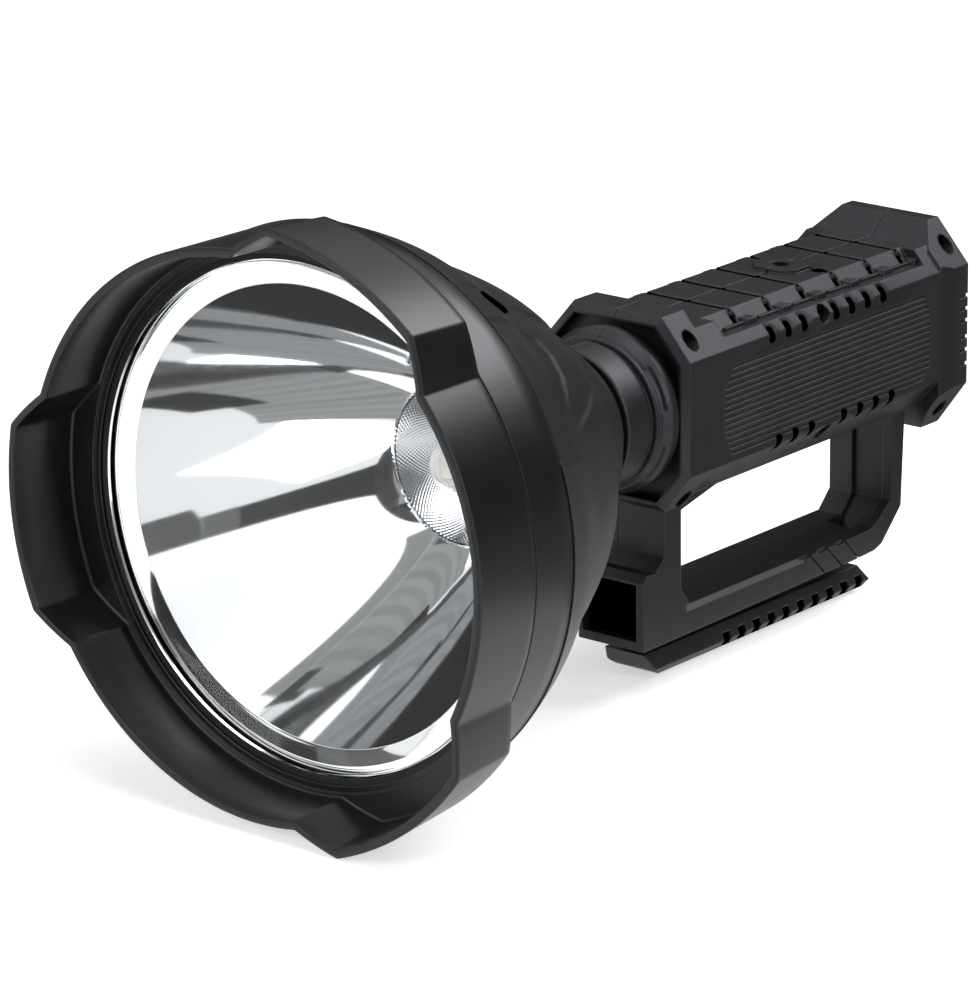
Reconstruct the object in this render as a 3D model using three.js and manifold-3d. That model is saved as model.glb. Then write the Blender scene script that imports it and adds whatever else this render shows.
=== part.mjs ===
import * as THREE from "three";
import { mergeVertices } from "three/addons/utils/BufferGeometryUtils.js";
import Module from "manifold-3d";

// A hand-held LED searchlight with a carrying handle, in millimetres.
// The beam leaves along -Y and +Z is up. Places along the beam are measured from the
// front plane of the rim, and heights from the beam axis. The neck and the housing are
// clamshells that meet on the plane x = 0. The finished lamp is then moved so that the
// origin is the middle of the rail's underside.

const wasm = await Module();
wasm.setup();

// Clearances and cutters
const seatGap = 0.3; // left between two faces that touch on the real lamp
const slideGap = 0.4; // round a piece that slides or turns
const overrun = 8; // how far a cutter passes the face that it opens
const weldDistance = 0.001;
const wideFacets = 48;
const roundFacets = 32;
const fewFacets = 20;
const smallFacets = 10;
const socketFacets = 6;

// Bezel: a round skirt with three flat-topped lobes round its mouth
const headTurn = 6.5; // degrees that the screwed-on head stopped past upright
const lobeCount = 3;
const firstLobeAngle = 60;
const rimRadius = 90.5;
const lobeHeight = 9.5;
const lobeLength = 27;
const lobeTaper = 1.7;
const lobeCrownAngle = 17.5;
const lobeFootAngle = 26.5;
const lobeFacets = 8;
const bezelLength = 45;
const skirtTaper = 0.8;
const bezelWall = 3;
const threadWall = 2.7;
const mouthDepth = 24;
const floorWidth = 4;
const floorThickness = 1.7;
const floorStepWidth = 2.1;
const floorStepDepth = 0.8;

// Lens and gasket
const lensInset = 2.7; // from the floor's window to the lens
const lensThickness = 3.6;
const lensRimInset = 1.4; // from the bezel's bore to the lens rim
const lensRimThickness = 1;
const gasketThickness = 1.3;

// Reflector: a parabola with a flat flange at its mouth
const reflectorDepth = 80.742;
const mouthInset = 7.8; // from the edge of the lens to the parabola's mouth
const mouthSetback = 1.9;
const mouthBevelWidth = 5;
const reflectorWall = 1.8;
const flangeThickness = 2.3;
const throatRadius = 24;
const throatLip = 3.2;
const bossRadius = 3.4;
const reflectorSteps = 8;

// Dimpled insert in the throat
const insertEdge = 1.76; // its thickness at the bore
const insertBoreGap = 1.7;

// Light source on its post
const pedestalRadius = 8.9;
const pedestalFootWidth = 0.7;
const pedestalFootHeight = 1.4;
const domeInset = 0.6;
const domeHeight = 6.2;
const domeSetback = 3.2; // from the focus back to the flat of the dome
const chipSide = 7;
const chipThickness = 0.8;
const chipGap = 0.45;
const ledBoardInset = 2;
const ledBoardThickness = 1.6;

// Heat sink
const sinkBase = 4;
const finHeight = 9;
const finInset = 6.8; // from the inside of the shell to the tips of the fins
const finThickness = 2;
const finCount = 7;

// Head shell
const shellWall = 2.6;
const shellShoulderDrop = 0.6; // the shell's front edge is this much under the rim radius
const shellLength = 104.7;
const shellStubLength = 2.5;
const collarWall = 2.5;
const spigotDrop = 3.5;
const spigotLength = 13.5;
const spigotWall = 3;
const spigotGrooveDepth = 1.5;
const spigotGrooveWidth = 2.4;
const spigotGrooveSetback = 7.6;
// How far back (share of the shell's length) and how wide (share of the way from the
// neck's radius to the shell's front radius) the outside is.
const shellOutlineShares = [
  [0, 1],
  [0.143, 0.903],
  [0.286, 0.761],
  [0.429, 0.655],
  [0.571, 0.528],
  [0.714, 0.345],
  [0.857, 0.194],
  [1, 0.023],
];
const shellSteps = 9;
// Two sunken panels per third of the shell. Across: share of the shell's front radius.
// Back: share of the shell's length.
const panelAngle = 30;
const deepPanelDepth = 1.5;
const shallowPanelDepth = 0.9;
const deepPanelShares = [
  [-0.253, 0.01],
  [0.256, 0.01],
  [0.245, 0.12],
  [0.17, 0.19],
  [0.095, 0.3],
  [-0.02, 0.368],
  [-0.107, 0.376],
  [-0.171, 0.345],
  [-0.223, 0.222],
  [-0.253, 0.09],
];
const shallowPanelShares = [
  [-0.42, -0.05],
  [0.3, -0.05],
  [0.28, 0.14],
  [0.2, 0.25],
  [0.12, 0.43],
  [0.006, 0.64],
  [-0.1, 0.725],
  [-0.178, 0.76],
  [-0.3, 0.4],
  [-0.38, 0.2],
];

// Screws
const headRadius = 2.7;
const headLength = 2.4;
const shankRadius = 1.25;
const shankGap = 0.2;
const socketRadius = 1.2;
const socketDepth = 1.2;
const counterboreGap = 0.45;
const bossWall = 0.9;

// Screws that hold the shell to the reflector
const shellScrewAngle = 52;
const shellScrewInset = 8.7; // from the shell's collar to the screw circle
const shellScrewSetback = 14.7; // from the shell's front edge to the seat of the heads
const shellScrewLength = 20;
const shellPostLength = 8.5;
const shellPostWall = 2.4;

// Neck: a two-piece collar between the shell and the housing
const neckClearance = 1.05; // from the neck's radius to the recess in the housing
const neckSetback = 2.5;
const neckEdge = 0.7;
const neckCollarLength = 11.5;
const neckWaistDepth = 1.9;
const neckWaistLength = 2.9;
const neckRidgeSetback = 1.5;
const neckSwell = 1.5;
const neckBulge = 3;
const bulgeRise = 3.7;
const bulgeLength = 2.8;
const neckInnerStep = 0.4; // how much the part inside the recess is over the neck's radius
const neckShoulderGap = 0.6;
const neckSpigotDrop = 5;
const neckFlangeWidth = 2.6;
const neckFlangeThickness = 2.7;
const neckSpigotWall = 6;
const slotDepth = 0.9;
const slotWidth = 1.5;
const slotSetback = 0.3;
const slotSpan = 31;
const slotAngles = [11.5, -47];

// Housing body. The section is symmetrical in x.
const bodyHalfWidth = 29.45;
const frameTop = 32.56;
const frameTopHalfWidth = 17.88;
const shoulderHeight = 19.2;
const hipHeight = -19.25;
const columnHalfWidth = 18.93;
const frameBottom = -32.68;
const frameSetback = 1.6; // from the neck's bulge to the frame's front
const frameBevelLength = 2.16;
const frameBevelInset = 2.25;
const frameLength = 13.7;
const recessInset = 3.4;
const recessDepth = 5;
const bulkheadThickness = 7.5;
const bodyLength = 128.2;
const deckDrop = 5.36; // from the frame's top to the deck
const deckInset = 1.08;
const bodyBottomRise = 2.68;
const ledgeDrop = 4.75; // from the deck to the ledge beside it
const ledgeSlope = 4.1;
const channelFrontGap = 10.3;
const channelRearGap = 5.9;
const bodyWall = 2.5;

// Rear flange
const flangeLength = 14.7;
const flangeSlope = 8.6;
const flangeProud = 1.25;
const flangeTopProud = 1.24;
const flangeHipDrop = 3.55;
const flangeBottomDrop = 8.8;
const flangeSideSetback = 2.1;
const flangeSideSlope = 4.5;
const gripStepShares = [0.739, 0.63, 0.531, 0.393, 0.284, 0.166];
const gripStepWidth = 1.3;
const gripStepDepth = 0.8;
const gripStepLength = 4.5;

// Deck, notches and side ribs
const deckGrooveShares = [0.196, 0.342, 0.491, 0.64, 0.789, 0.926];
const deckGrooveWidth = 1.3;
const deckGrooveDepth = 0.9;
const padSetback = 77.3;
const padLength = 16;
const padHalfWidth = 9;
const padCorner = 4;
const padHeight = 1.3;
const upperNotchFrontGap = 32.9;
const upperNotchRearGap = 33.1;
const lowerNotchFrontGap = 37;
const lowerNotchRearGap = 27.5;
const notchCount = 8;
const screwNotch = 3; // the place in each row that a case screw takes
const notchWidth = 3.2;
const notchDepth = 2.2;
const ribPanelDepth = 0.5;
const ribCount = 15;
const ribTopDrop = 5;
const ribBottomRise = 2.45;
const ribGrooveShare = 0.5;
const ribPanelFrontGap = 6.9;
const ribPanelRearGap = 5.6;
const ribPanelCorner = 8;

// Inside of the housing
const rearFrameLength = 3.9;
const rearOpeningInset = 5.45;
const rearOpeningDrop = 7.2;
const rearOpeningRise = 4.4;
const rearOpeningCorner = 7;
const panelLedge = 1.3;

// Handle under the body. Its far side, towards -X, is the narrower one.
const handleFarWidth = 9.5;
const handleFarBevel = 1.8;
const columnProud = 9; // how far the front column passes the frame's front
const columnDepth = 20;
const rearColumnGap = 5.3;
const rearColumnDepth = 7.1;
const gripHeight = 38.4;
const barFrontThickness = 9.6;
const barRearThickness = 8.2;
const rearFootLength = 27.4;
const rearFootHeight = 42.2;
// The step in the column's front: share of the way out, and of the grip's height.
const columnStepShares = [
  [0, 0.478],
  [0.409, 0.591],
  [0.794, 0.578],
  [1, 0.638],
];
// The rear column's back, from the bar's underside up: shares of the foot's size.
const rearFootShares = [
  [0, 0],
  [0.39, 0.012],
  [0.544, 0.047],
  [0.945, 0.303],
  [1, 1],
];
// The finger opening: shares of its length and height.
const gripShares = [
  [0, 0.109],
  [0.162, 0],
  [1, 0],
  [1, 0.794],
  [0.92, 0.974],
  [0.89, 1],
  [0.046, 1],
  [0, 0.807],
];
const gripTrackHalfWidth = 11.7;
const gripTrackDepth = 1.15;
const gripTrackSetback = 3.3;
const gripTrackCorner = 6.4;
const gripCrown = 0.9;
const gripPocketWall = 4.1; // from the column's side to the pocket behind the grip
const gripPocketSetback = 4.7;
const gripPocketDepth = 4.6;
const gripPocketCorner = 10.25;
const gripPocketFrontGap = 12;
const columnRecessRim = 3;
const columnRecessHeight = 19.5;
const columnRecessDepth = 12;
const barStepSetbacks = [47.4, 37.6, 27.6]; // each in front of the finger opening's end
const barStepRun = 8.3;
const barStepWidth = 1.1;
const barStepDepth = 0.8;
const barNotchLength = 4.2;

// Case screws, driven from +X
const upperFrontScrewSetback = 3.4;
const lowerFrontScrewSetback = 4.4;
const frontBossGap = 0.15;
const lowerFrontScrewRise = 3.08;
const upperScrewShift = 2.24;
const lowerScrewShift = 0.4;
const lowerScrewDrop = 2.95;
const upperRearScrewInset = 4.9;
const lowerRearScrewInset = 6.6;
const rearBossGap = 0.55;
const cornerSink = 10.85; // from the body's side to the seat of a corner screw
const lowerFrontSink = 3.33; // the same from the column's side
const upperMiddleSink = 5.45;
const lowerMiddleSink = 7.45;
const cornerTipInset = 15.45;
const middleTipInset = 5.45;
const middleBossRoom = 7.1;

// Threaded bush in the deck
const bushRadius = 3.6;
const bushBore = 2.5;
const bushLength = 6.9;
const bushProud = 1;
const bushWall = 1.9;
const bushFloor = 1.7;

// Accessory rail under the handle
const railDrop = 7;
const railHeight = 8;
const railWidestRise = 2.5;
const railTipRise = 1.6;
const railHalfWidth = 10.3;
const railTopInset = 2.3;
const railBottomInset = 1.7;
const railWebInset = 4.3;
const railFrontSetback = 14;
const railTipLength = 4.6;
const railFrontSlope = 7;
const railRearGap = 7.6;
const railRearUndercut = 2;
const railRearSlope = 4;
const railNotchSetback = 43.3;
const railNotchRearGap = 5.46;
const railNotchCount = 10;
const railNotchWidth = 4.3;
const railNotchDepth = 4.8;
const railScrewAcross = 3.2;
const railScrewSetback = 21;
const railScrewNotch = 7; // the notch that the rear screw is in
const railScrewRise = 5.6;
const railScrewLength = 16;
const originNotch = 2.5; // the origin is midway between two notches

// Battery pack and circuit boards
const cellRadius = 9.2;
const cellGap = 0.4;
const cellNippleRadius = 3;
const cellNippleHeight = 1;
const packHeight = -1.5;
const packFrontRoom = 5.1;
const packRearRoom = 19.7;
const plateThickness = 3;
const boardThickness = 1.6;
const driverBoardGap = 2.5;
const coilRadius = 6;
const coilHeight = 7;
const capacitorRadius = 4;
const capacitorHeight = 9;
const partSpread = 12;
const chargeBoardGap = 12;

// Rear panel with its button, charge port and indicator
const panelRecess = 8.1;
const panelThickness = 3;
const panelScrewInset = 3.6;
const panelScrewHeight = -2;
const panelScrewLength = 13;
const panelPostLength = 16.5;
const panelPostRadius = 3.3;
const buttonHeight = 6;
const buttonRadius = 6.7;
const buttonProud = 3.6;
const buttonEdge = 0.7;
const buttonTravel = 1.2;
const buttonFlangeWidth = 1.6;
const buttonFlangeThickness = 1.8;
const buttonStemRadius = 2;
const buttonRingWidth = 2.4;
const buttonRingThickness = 1.4;
const switchSide = 14;
const switchSetback = 8;
const portHeight = -13.4;
const portHalfWidth = 4.6;
const portHalfHeight = 1.8;
const portWall = 0.5;
const portMouthDepth = 6;
const portProud = 0.2;
const flapSideBorder = 3.4;
const flapBottomBorder = 1.6;
const flapThickness = 1.6;
const hingeRise = 6;
const barrelRadius = 1.6;
const pinRadius = 0.8;
const earWidth = 1.6;
const indicatorGap = 4;
const indicatorRadius = 1.6;
const indicatorFlange = 1.1;
const indicatorFlangeThickness = 1.2;
const indicatorProud = 0.9;

// Places that follow from the sizes above. Head:
const windowRadius = rimRadius - bezelWall - floorWidth;
const bezelBore = rimRadius - skirtTaper - threadWall;
const lensRadius = windowRadius - lensInset;
const gasketFront = mouthDepth + floorThickness + seatGap;
const lensRimFront = gasketFront + gasketThickness + seatGap;
const lensRear = lensRimFront + lensRimThickness;
const lensFront = lensRear - lensThickness;
const lensRimRadius = bezelBore - lensRimInset;
const mouthRadius = lensRadius - mouthInset;
const flangeFace = lensRear + seatGap;
const flangeBack = flangeFace + flangeThickness;
const mouthPlace = flangeFace + mouthSetback;
const apex = mouthPlace + reflectorDepth;
const focalLength = mouthRadius ** 2 / (4 * reflectorDepth);
const bowl = (radius) => apex - radius ** 2 / (4 * focalLength);
const throatPlace = bowl(throatRadius);
const insertFront = throatPlace + seatGap;
const insertBore = pedestalRadius + insertBoreGap;
const insertRear = bowl(insertBore) + insertEdge;
const ledBoardFront = insertRear + seatGap;
const ledBoardRadius = throatRadius - ledBoardInset;
const sinkFront = ledBoardFront + ledBoardThickness + seatGap;
const sinkRear = sinkFront + sinkBase;
const domeBase = apex - focalLength + domeSetback;
const domeRadius = pedestalRadius - domeInset;
const domePocketRadius = chipSide * Math.SQRT1_2 + chipGap;
const domePocketDepth = chipThickness + seatGap;
const pedestalFront = domeBase + seatGap;
const pedestalRear = ledBoardFront - seatGap;
const pedestalFootRadius = pedestalRadius + pedestalFootWidth;
const shellFront = bezelLength + seatGap;
const shellEnd = shellFront + shellLength;
const shellFrontRadius = rimRadius - shellShoulderDrop;
const collarRadius = bezelBore - seatGap;
const collarFront = flangeBack + seatGap;
const shellScrewCircle = collarRadius - shellScrewInset;
const shellScrewSeat = shellFront + shellScrewSetback;
const bossEnd = shellScrewSeat - shellPostLength - seatGap;

// Neck
const neckRadius = bodyHalfWidth - recessInset - neckClearance;
const stubEnd = shellEnd + shellStubLength;
const spigotRadius = neckRadius - spigotDrop;
const spigotEnd = stubEnd + spigotLength;
const neckStart = stubEnd + neckSetback;
const neckWaistStart = neckStart + neckCollarLength;
const neckWaistEnd = neckWaistStart + neckWaistLength;
const neckRidge = neckWaistEnd + neckRidgeSetback;
const bulgeStart = neckRidge + bulgeRise;
const bulgeEnd = bulgeStart + bulgeLength;
const frameFront = bulgeEnd + frameSetback;
const recessRear = frameFront + recessDepth;
const bulkheadRear = recessRear + bulkheadThickness;
const neckShoulderEnd = recessRear - neckShoulderGap;
const neckSpigotRadius = neckRadius - neckSpigotDrop;
const neckFlangeRadius = neckSpigotRadius + neckFlangeWidth;
const neckFlangeFront = bulkheadRear + seatGap;
const neckEnd = neckFlangeFront + neckFlangeThickness;

// Housing
const frameRear = frameFront + frameLength;
const flangeFront = frameRear + bodyLength;
const flangeRear = flangeFront + flangeLength;
const deckHeight = frameTop - deckDrop;
const deckHalfWidth = frameTopHalfWidth - deckInset;
const bodyBottom = frameBottom + bodyBottomRise;
const ledgeHeight = deckHeight - ledgeDrop;
const padCentre = frameRear + padSetback;
const flangeHalfWidth = bodyHalfWidth + flangeProud;
const flangeTop = frameTop + flangeTopProud;
const flangeHip = hipHeight - flangeHipDrop;
const flangeBottom = bodyBottom - flangeBottomDrop;
const upperNotchStart = frameRear + upperNotchFrontGap;
const upperNotchPitch = (bodyLength - upperNotchFrontGap - upperNotchRearGap) / (notchCount - 1);
const lowerNotchStart = frameRear + lowerNotchFrontGap;
const lowerNotchPitch = (bodyLength - lowerNotchFrontGap - lowerNotchRearGap) / (notchCount - 1);
const cavityRear = flangeFront - rearFrameLength;
const rearOpeningHalfWidth = bodyHalfWidth - rearOpeningInset;
const rearOpeningTop = deckHeight - rearOpeningDrop;
const rearOpeningBottom = bodyBottom + rearOpeningRise;
const bushTop = deckHeight + bushProud;
const bushBottom = bushTop - bushLength;

// Handle and rail
const columnFace = frameFront - columnProud;
const columnTopFace = frameFront + frameBevelLength;
const gripFront = columnFace + columnDepth;
const rearColumnBack = flangeFront - rearColumnGap;
const gripRear = rearColumnBack - rearColumnDepth;
const barTop = bodyBottom - gripHeight;
const barFrontBottom = barTop - barFrontThickness;
const barRearBottom = barTop - barRearThickness;
const rearFootFront = rearColumnBack - rearFootLength;
const railTop = barFrontBottom - railDrop;
const railBottom = railTop - railHeight;
const railWidest = railBottom + railWidestRise;
const railNotchTop = railBottom + railNotchDepth;
const railScrewSeat = railBottom + railScrewRise;
const railFrontTop = columnFace + railFrontSetback;
const railFrontBottom = railFrontTop + railFrontSlope;
const railRearTip = rearColumnBack - railRearGap;
const railNotchStart = railFrontTop + railNotchSetback;
const railNotchPitch = (railRearTip - railNotchRearGap - railNotchStart) / (railNotchCount - 1);
const railMiddle = railNotchStart + originNotch * railNotchPitch;
const railScrews = [
  { across: railScrewAcross, along: railFrontTop + railScrewSetback },
  { across: -railScrewAcross, along: railNotchStart + railScrewNotch * railNotchPitch },
];

// Rear panel
const panelFront = flangeRear - panelRecess;
const panelRear = panelFront + panelThickness;
const panelScrewAcross = rearOpeningHalfWidth - panelScrewInset;
const panelPostFront = panelFront - panelPostLength;
const chargeBoardPlace = cavityRear - chargeBoardGap;
const switchRear = panelFront - switchSetback;
const flapHalfWidth = portHalfWidth + flapSideBorder;
const hingeHeight = portHeight + hingeRise;
const hingeAlong = panelRear + seatGap + barrelRadius;
const indicatorAcross = buttonRadius + slideGap + buttonRingWidth + indicatorGap;

// Battery pack
const cellPitch = 2 * cellRadius + cellGap;
const driverBoardPlace = neckEnd + driverBoardGap;
const packFront =
  driverBoardPlace +
  boardThickness +
  capacitorHeight +
  packFrontRoom +
  plateThickness +
  seatGap;
const packRear = chargeBoardPlace - packRearRoom - plateThickness - seatGap;

// Screws: where each lies, how high, where its head seats and where its tip ends
const counterboreRadius = headRadius + counterboreGap;
const shankHole = shankRadius + shankGap;
const caseBossRadius = counterboreRadius + bossWall;
const cornerTip = bodyHalfWidth - cornerTipInset;
const middleTip = bodyHalfWidth - middleTipInset;
const middleBossStart = cellPitch / 2 + middleBossRoom;
const caseScrews = [
  {
    along: recessRear + upperFrontScrewSetback,
    height: neckSpigotRadius + seatGap + caseBossRadius + frontBossGap,
    seat: bodyHalfWidth - cornerSink,
    tip: cornerTip,
  },
  {
    along: recessRear + lowerFrontScrewSetback,
    height: frameBottom + lowerFrontScrewRise,
    seat: columnHalfWidth - lowerFrontSink,
    tip: cornerTip,
  },
  {
    along: upperNotchStart + screwNotch * upperNotchPitch + upperScrewShift,
    height: shoulderHeight,
    seat: bodyHalfWidth - upperMiddleSink,
    tip: middleTip,
    bossStart: middleBossStart,
  },
  {
    along: lowerNotchStart + screwNotch * lowerNotchPitch + lowerScrewShift,
    height: hipHeight - lowerScrewDrop,
    seat: bodyHalfWidth - lowerMiddleSink,
    tip: middleTip,
    bossStart: middleBossStart,
  },
  {
    along: flangeRear - upperRearScrewInset,
    height: rearOpeningTop + panelLedge + caseBossRadius + rearBossGap,
    seat: bodyHalfWidth - cornerSink,
    tip: cornerTip,
  },
  {
    along: flangeRear - lowerRearScrewInset,
    height: rearOpeningBottom - panelLedge - caseBossRadius - rearBossGap,
    seat: bodyHalfWidth - cornerSink,
    tip: cornerTip,
  },
];

// Shape helpers

const axes = {
  x: [new THREE.Vector3(0, 1, 0), new THREE.Vector3(0, 0, 1), new THREE.Vector3(1, 0, 0)],
  y: [new THREE.Vector3(1, 0, 0), new THREE.Vector3(0, 0, 1), new THREE.Vector3(0, -1, 0)],
  z: [new THREE.Vector3(1, 0, 0), new THREE.Vector3(0, 1, 0), new THREE.Vector3(0, 0, 1)],
};

// A closed three.js geometry as a solid that can be joined and cut, its faces turned out.
function solid(geometry) {
  const bare = geometry.clone();
  bare.deleteAttribute("normal");
  bare.deleteAttribute("uv");
  const merged = mergeVertices(bare, weldDistance);
  const places = merged.attributes.position.array;
  const build = (turned) => {
    const triVerts = [];
    for (let i = 0; i < merged.index.count; i += 3) {
      const [a, b, c] = [0, 1, 2].map((k) => merged.index.getX(i + k));
      if (a !== b && b !== c && c !== a) triVerts.push(a, turned ? c : b, turned ? b : c);
    }
    return new wasm.Manifold(
      new wasm.Mesh({
        numProp: 3,
        vertProperties: places,
        triVerts: new Uint32Array(triVerts),
      }),
    );
  };
  const made = build(false);
  return made.volume() < 0 ? build(true) : made;
}

// A solid back as a geometry that three.js can draw.
function geometryOf(made) {
  const mesh = made.getMesh();
  const places = new Float32Array(mesh.numVert * 3);
  for (let i = 0; i < mesh.numVert; i++) {
    const start = i * mesh.numProp;
    places.set(mesh.vertProperties.subarray(start, start + 3), i * 3);
  }
  const geometry = new THREE.BufferGeometry();
  geometry.setAttribute("position", new THREE.BufferAttribute(places, 3));
  geometry.setIndex(new THREE.BufferAttribute(mesh.triVerts, 1));
  geometry.computeVertexNormals();
  return geometry;
}

const join = (...solids) => solids.reduce((all, next) => all.add(next));
const cut = (from, ...solids) => solids.reduce((left, next) => left.subtract(next), from);

// An outline extruded along an axis, between two places on it. The outline's points are
// (y, z) along x, (x, z) along y and (x, y) along z. A bevel takes both of its ends in.
function prism(outline, axis, from, to, bevel) {
  const shape = new THREE.Shape(outline.map(([a, b]) => new THREE.Vector2(a, b)));
  const thick = bevel ? bevel.length : 0;
  const geometry = new THREE.ExtrudeGeometry(shape, {
    depth: to - from - 2 * thick,
    bevelEnabled: Boolean(bevel),
    bevelThickness: thick,
    bevelSize: bevel ? bevel.inset : 0,
    bevelOffset: bevel ? -bevel.inset : 0,
    bevelSegments: 1,
  });
  geometry.translate(0, 0, thick);
  geometry.applyMatrix4(new THREE.Matrix4().makeBasis(...axes[axis]));
  if (axis === "x") geometry.translate(from, 0, 0);
  if (axis === "y") geometry.translate(0, to, 0);
  if (axis === "z") geometry.translate(0, 0, from);
  return solid(geometry);
}

function block(x0, x1, y0, y1, z0, z1) {
  const geometry = new THREE.BoxGeometry(x1 - x0, y1 - y0, z1 - z0);
  geometry.translate((x0 + x1) / 2, (y0 + y1) / 2, (z0 + z1) / 2);
  return solid(geometry);
}

// A round bar along an axis. Its other two coordinates are given in the order x, y, z.
function rod(axis, radius, from, to, first, second, facets = smallFacets) {
  const geometry = new THREE.CylinderGeometry(radius, radius, to - from, facets);
  const middle = (from + to) / 2;
  if (axis === "x") geometry.rotateZ(Math.PI / 2).translate(middle, first, second);
  if (axis === "y") geometry.translate(first, middle, second);
  if (axis === "z") geometry.rotateX(Math.PI / 2).translate(first, second, middle);
  return solid(geometry);
}

// A closed profile of (radius, place along the beam) turned round the beam axis.
function turned(profile, facets = roundFacets) {
  const closed = [...profile, profile[0]];
  const points = closed.map(([radius, along]) => new THREE.Vector2(radius, along));
  return solid(new THREE.LatheGeometry(points, facets));
}

// Moves a solid, or turns it round the beam axis. An angle goes from +X towards +Z.
function placed(made, x, y, z) {
  return solid(geometryOf(made).translate(x, y, z));
}
function swung(made, degrees) {
  return solid(geometryOf(made).rotateY(-THREE.MathUtils.degToRad(degrees)));
}

const polar = (radius, degrees) => {
  const angle = THREE.MathUtils.degToRad(degrees);
  return [radius * Math.cos(angle), radius * Math.sin(angle)];
};

const thirds = (angle) =>
  Array.from({ length: lobeCount }, (_, k) => angle + (360 * k) / lobeCount);

// Both halves of an outline that is symmetrical in x, from its points with x > 0.
const bothSides = (half) => [...half, ...half.map(([x, z]) => [-x, z]).reverse()];

// An outline moved in (or out) by a distance, each corner mitred.
function inset(outline, distance) {
  const area = THREE.ShapeUtils.area(outline.map(([a, b]) => new THREE.Vector2(a, b)));
  const side = Math.sign(area) * distance;
  return outline.map((point, i) => {
    const before = outline[(i + outline.length - 1) % outline.length];
    const after = outline[(i + 1) % outline.length];
    const one = new THREE.Vector2(point[0] - before[0], point[1] - before[1]).normalize();
    const two = new THREE.Vector2(after[0] - point[0], after[1] - point[1]).normalize();
    const reach = side / (1 + one.dot(two));
    return [point[0] - reach * (one.y + two.y), point[1] + reach * (one.x + two.x)];
  });
}

const materials = {
  plastic: new THREE.MeshStandardMaterial({ color: 0x2b2c2e, roughness: 0.55, metalness: 0 }),
  satin: new THREE.MeshStandardMaterial({ color: 0x1d1e20, roughness: 0.35, metalness: 0 }),
  rubber: new THREE.MeshStandardMaterial({ color: 0x141415, roughness: 0.85, metalness: 0 }),
  chrome: new THREE.MeshStandardMaterial({ color: 0xe6e8ea, roughness: 0.06, metalness: 1 }),
  clear: new THREE.MeshStandardMaterial({
    color: 0xf2f6f8,
    roughness: 0.03,
    metalness: 0,
    transparent: true,
    opacity: 0.25,
  }),
  phosphor: new THREE.MeshStandardMaterial({ color: 0xe8c53a, roughness: 0.5, metalness: 0 }),
  aluminium: new THREE.MeshStandardMaterial({ color: 0xa9adb1, roughness: 0.4, metalness: 1 }),
  copper: new THREE.MeshStandardMaterial({ color: 0xb5774a, roughness: 0.35, metalness: 1 }),
  board: new THREE.MeshStandardMaterial({ color: 0x1f5a3a, roughness: 0.5, metalness: 0 }),
  brass: new THREE.MeshStandardMaterial({ color: 0xb49a5a, roughness: 0.35, metalness: 1 }),
  steel: new THREE.MeshStandardMaterial({ color: 0x3a3b3d, roughness: 0.35, metalness: 1 }),
  cell: new THREE.MeshStandardMaterial({ color: 0x2f6fa8, roughness: 0.4, metalness: 0 }),
  lamp: new THREE.MeshStandardMaterial({ color: 0x9fd6a8, roughness: 0.2, metalness: 0 }),
};

const lamp = new THREE.Group();
const head = new THREE.Group();
const rear = new THREE.Group();
lamp.add(head, rear);
lamp.position.set(0, -railMiddle, -railBottom);
head.rotation.y = -THREE.MathUtils.degToRad(headTurn);

function piece(group, name, made, material) {
  const mesh = new THREE.Mesh(geometryOf(made), material);
  mesh.name = name;
  group.add(mesh);
}

// Bezel

// The corner where the flank of a lobe, moved in by a distance, crosses a circle.
function flankCorner(radius, distance) {
  const foot = new THREE.Vector2(...polar(rimRadius, lobeFootAngle));
  const crown = new THREE.Vector2(...polar(rimRadius + lobeHeight, lobeCrownAngle));
  const way = crown.clone().sub(foot).normalize();
  const start = new THREE.Vector2(way.y, -way.x).multiplyScalar(distance).add(foot);
  const along = start.dot(way);
  const reach = Math.sqrt(along ** 2 - start.lengthSq() + radius ** 2) - along;
  return start.add(way.multiplyScalar(reach));
}

function lobeOutline(distance, rootRadius) {
  const foot = flankCorner(rimRadius - distance, distance);
  const crownRadius = rimRadius + lobeHeight - distance;
  const crownAngle = THREE.MathUtils.radToDeg(flankCorner(crownRadius, distance).angle());
  const rootAngle = THREE.MathUtils.radToDeg(foot.angle());
  const arc = Array.from({ length: lobeFacets + 1 }, (_, k) =>
    polar(crownRadius, crownAngle * ((2 * k) / lobeFacets - 1)),
  );
  return [
    polar(rootRadius, -rootAngle),
    [foot.x, -foot.y],
    ...arc,
    [foot.x, foot.y],
    polar(rootRadius, rootAngle),
  ];
}

// A lobe grows narrower towards the rear, as a moulding does.
function tapered(made, length, loss) {
  const geometry = geometryOf(made);
  const places = geometry.attributes.position;
  for (let i = 0; i < places.count; i++) {
    const share = 1 - (loss / (rimRadius + lobeHeight)) * (places.getY(i) / length);
    places.setX(i, places.getX(i) * share);
    places.setZ(i, places.getZ(i) * share);
  }
  return solid(geometry);
}

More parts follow.
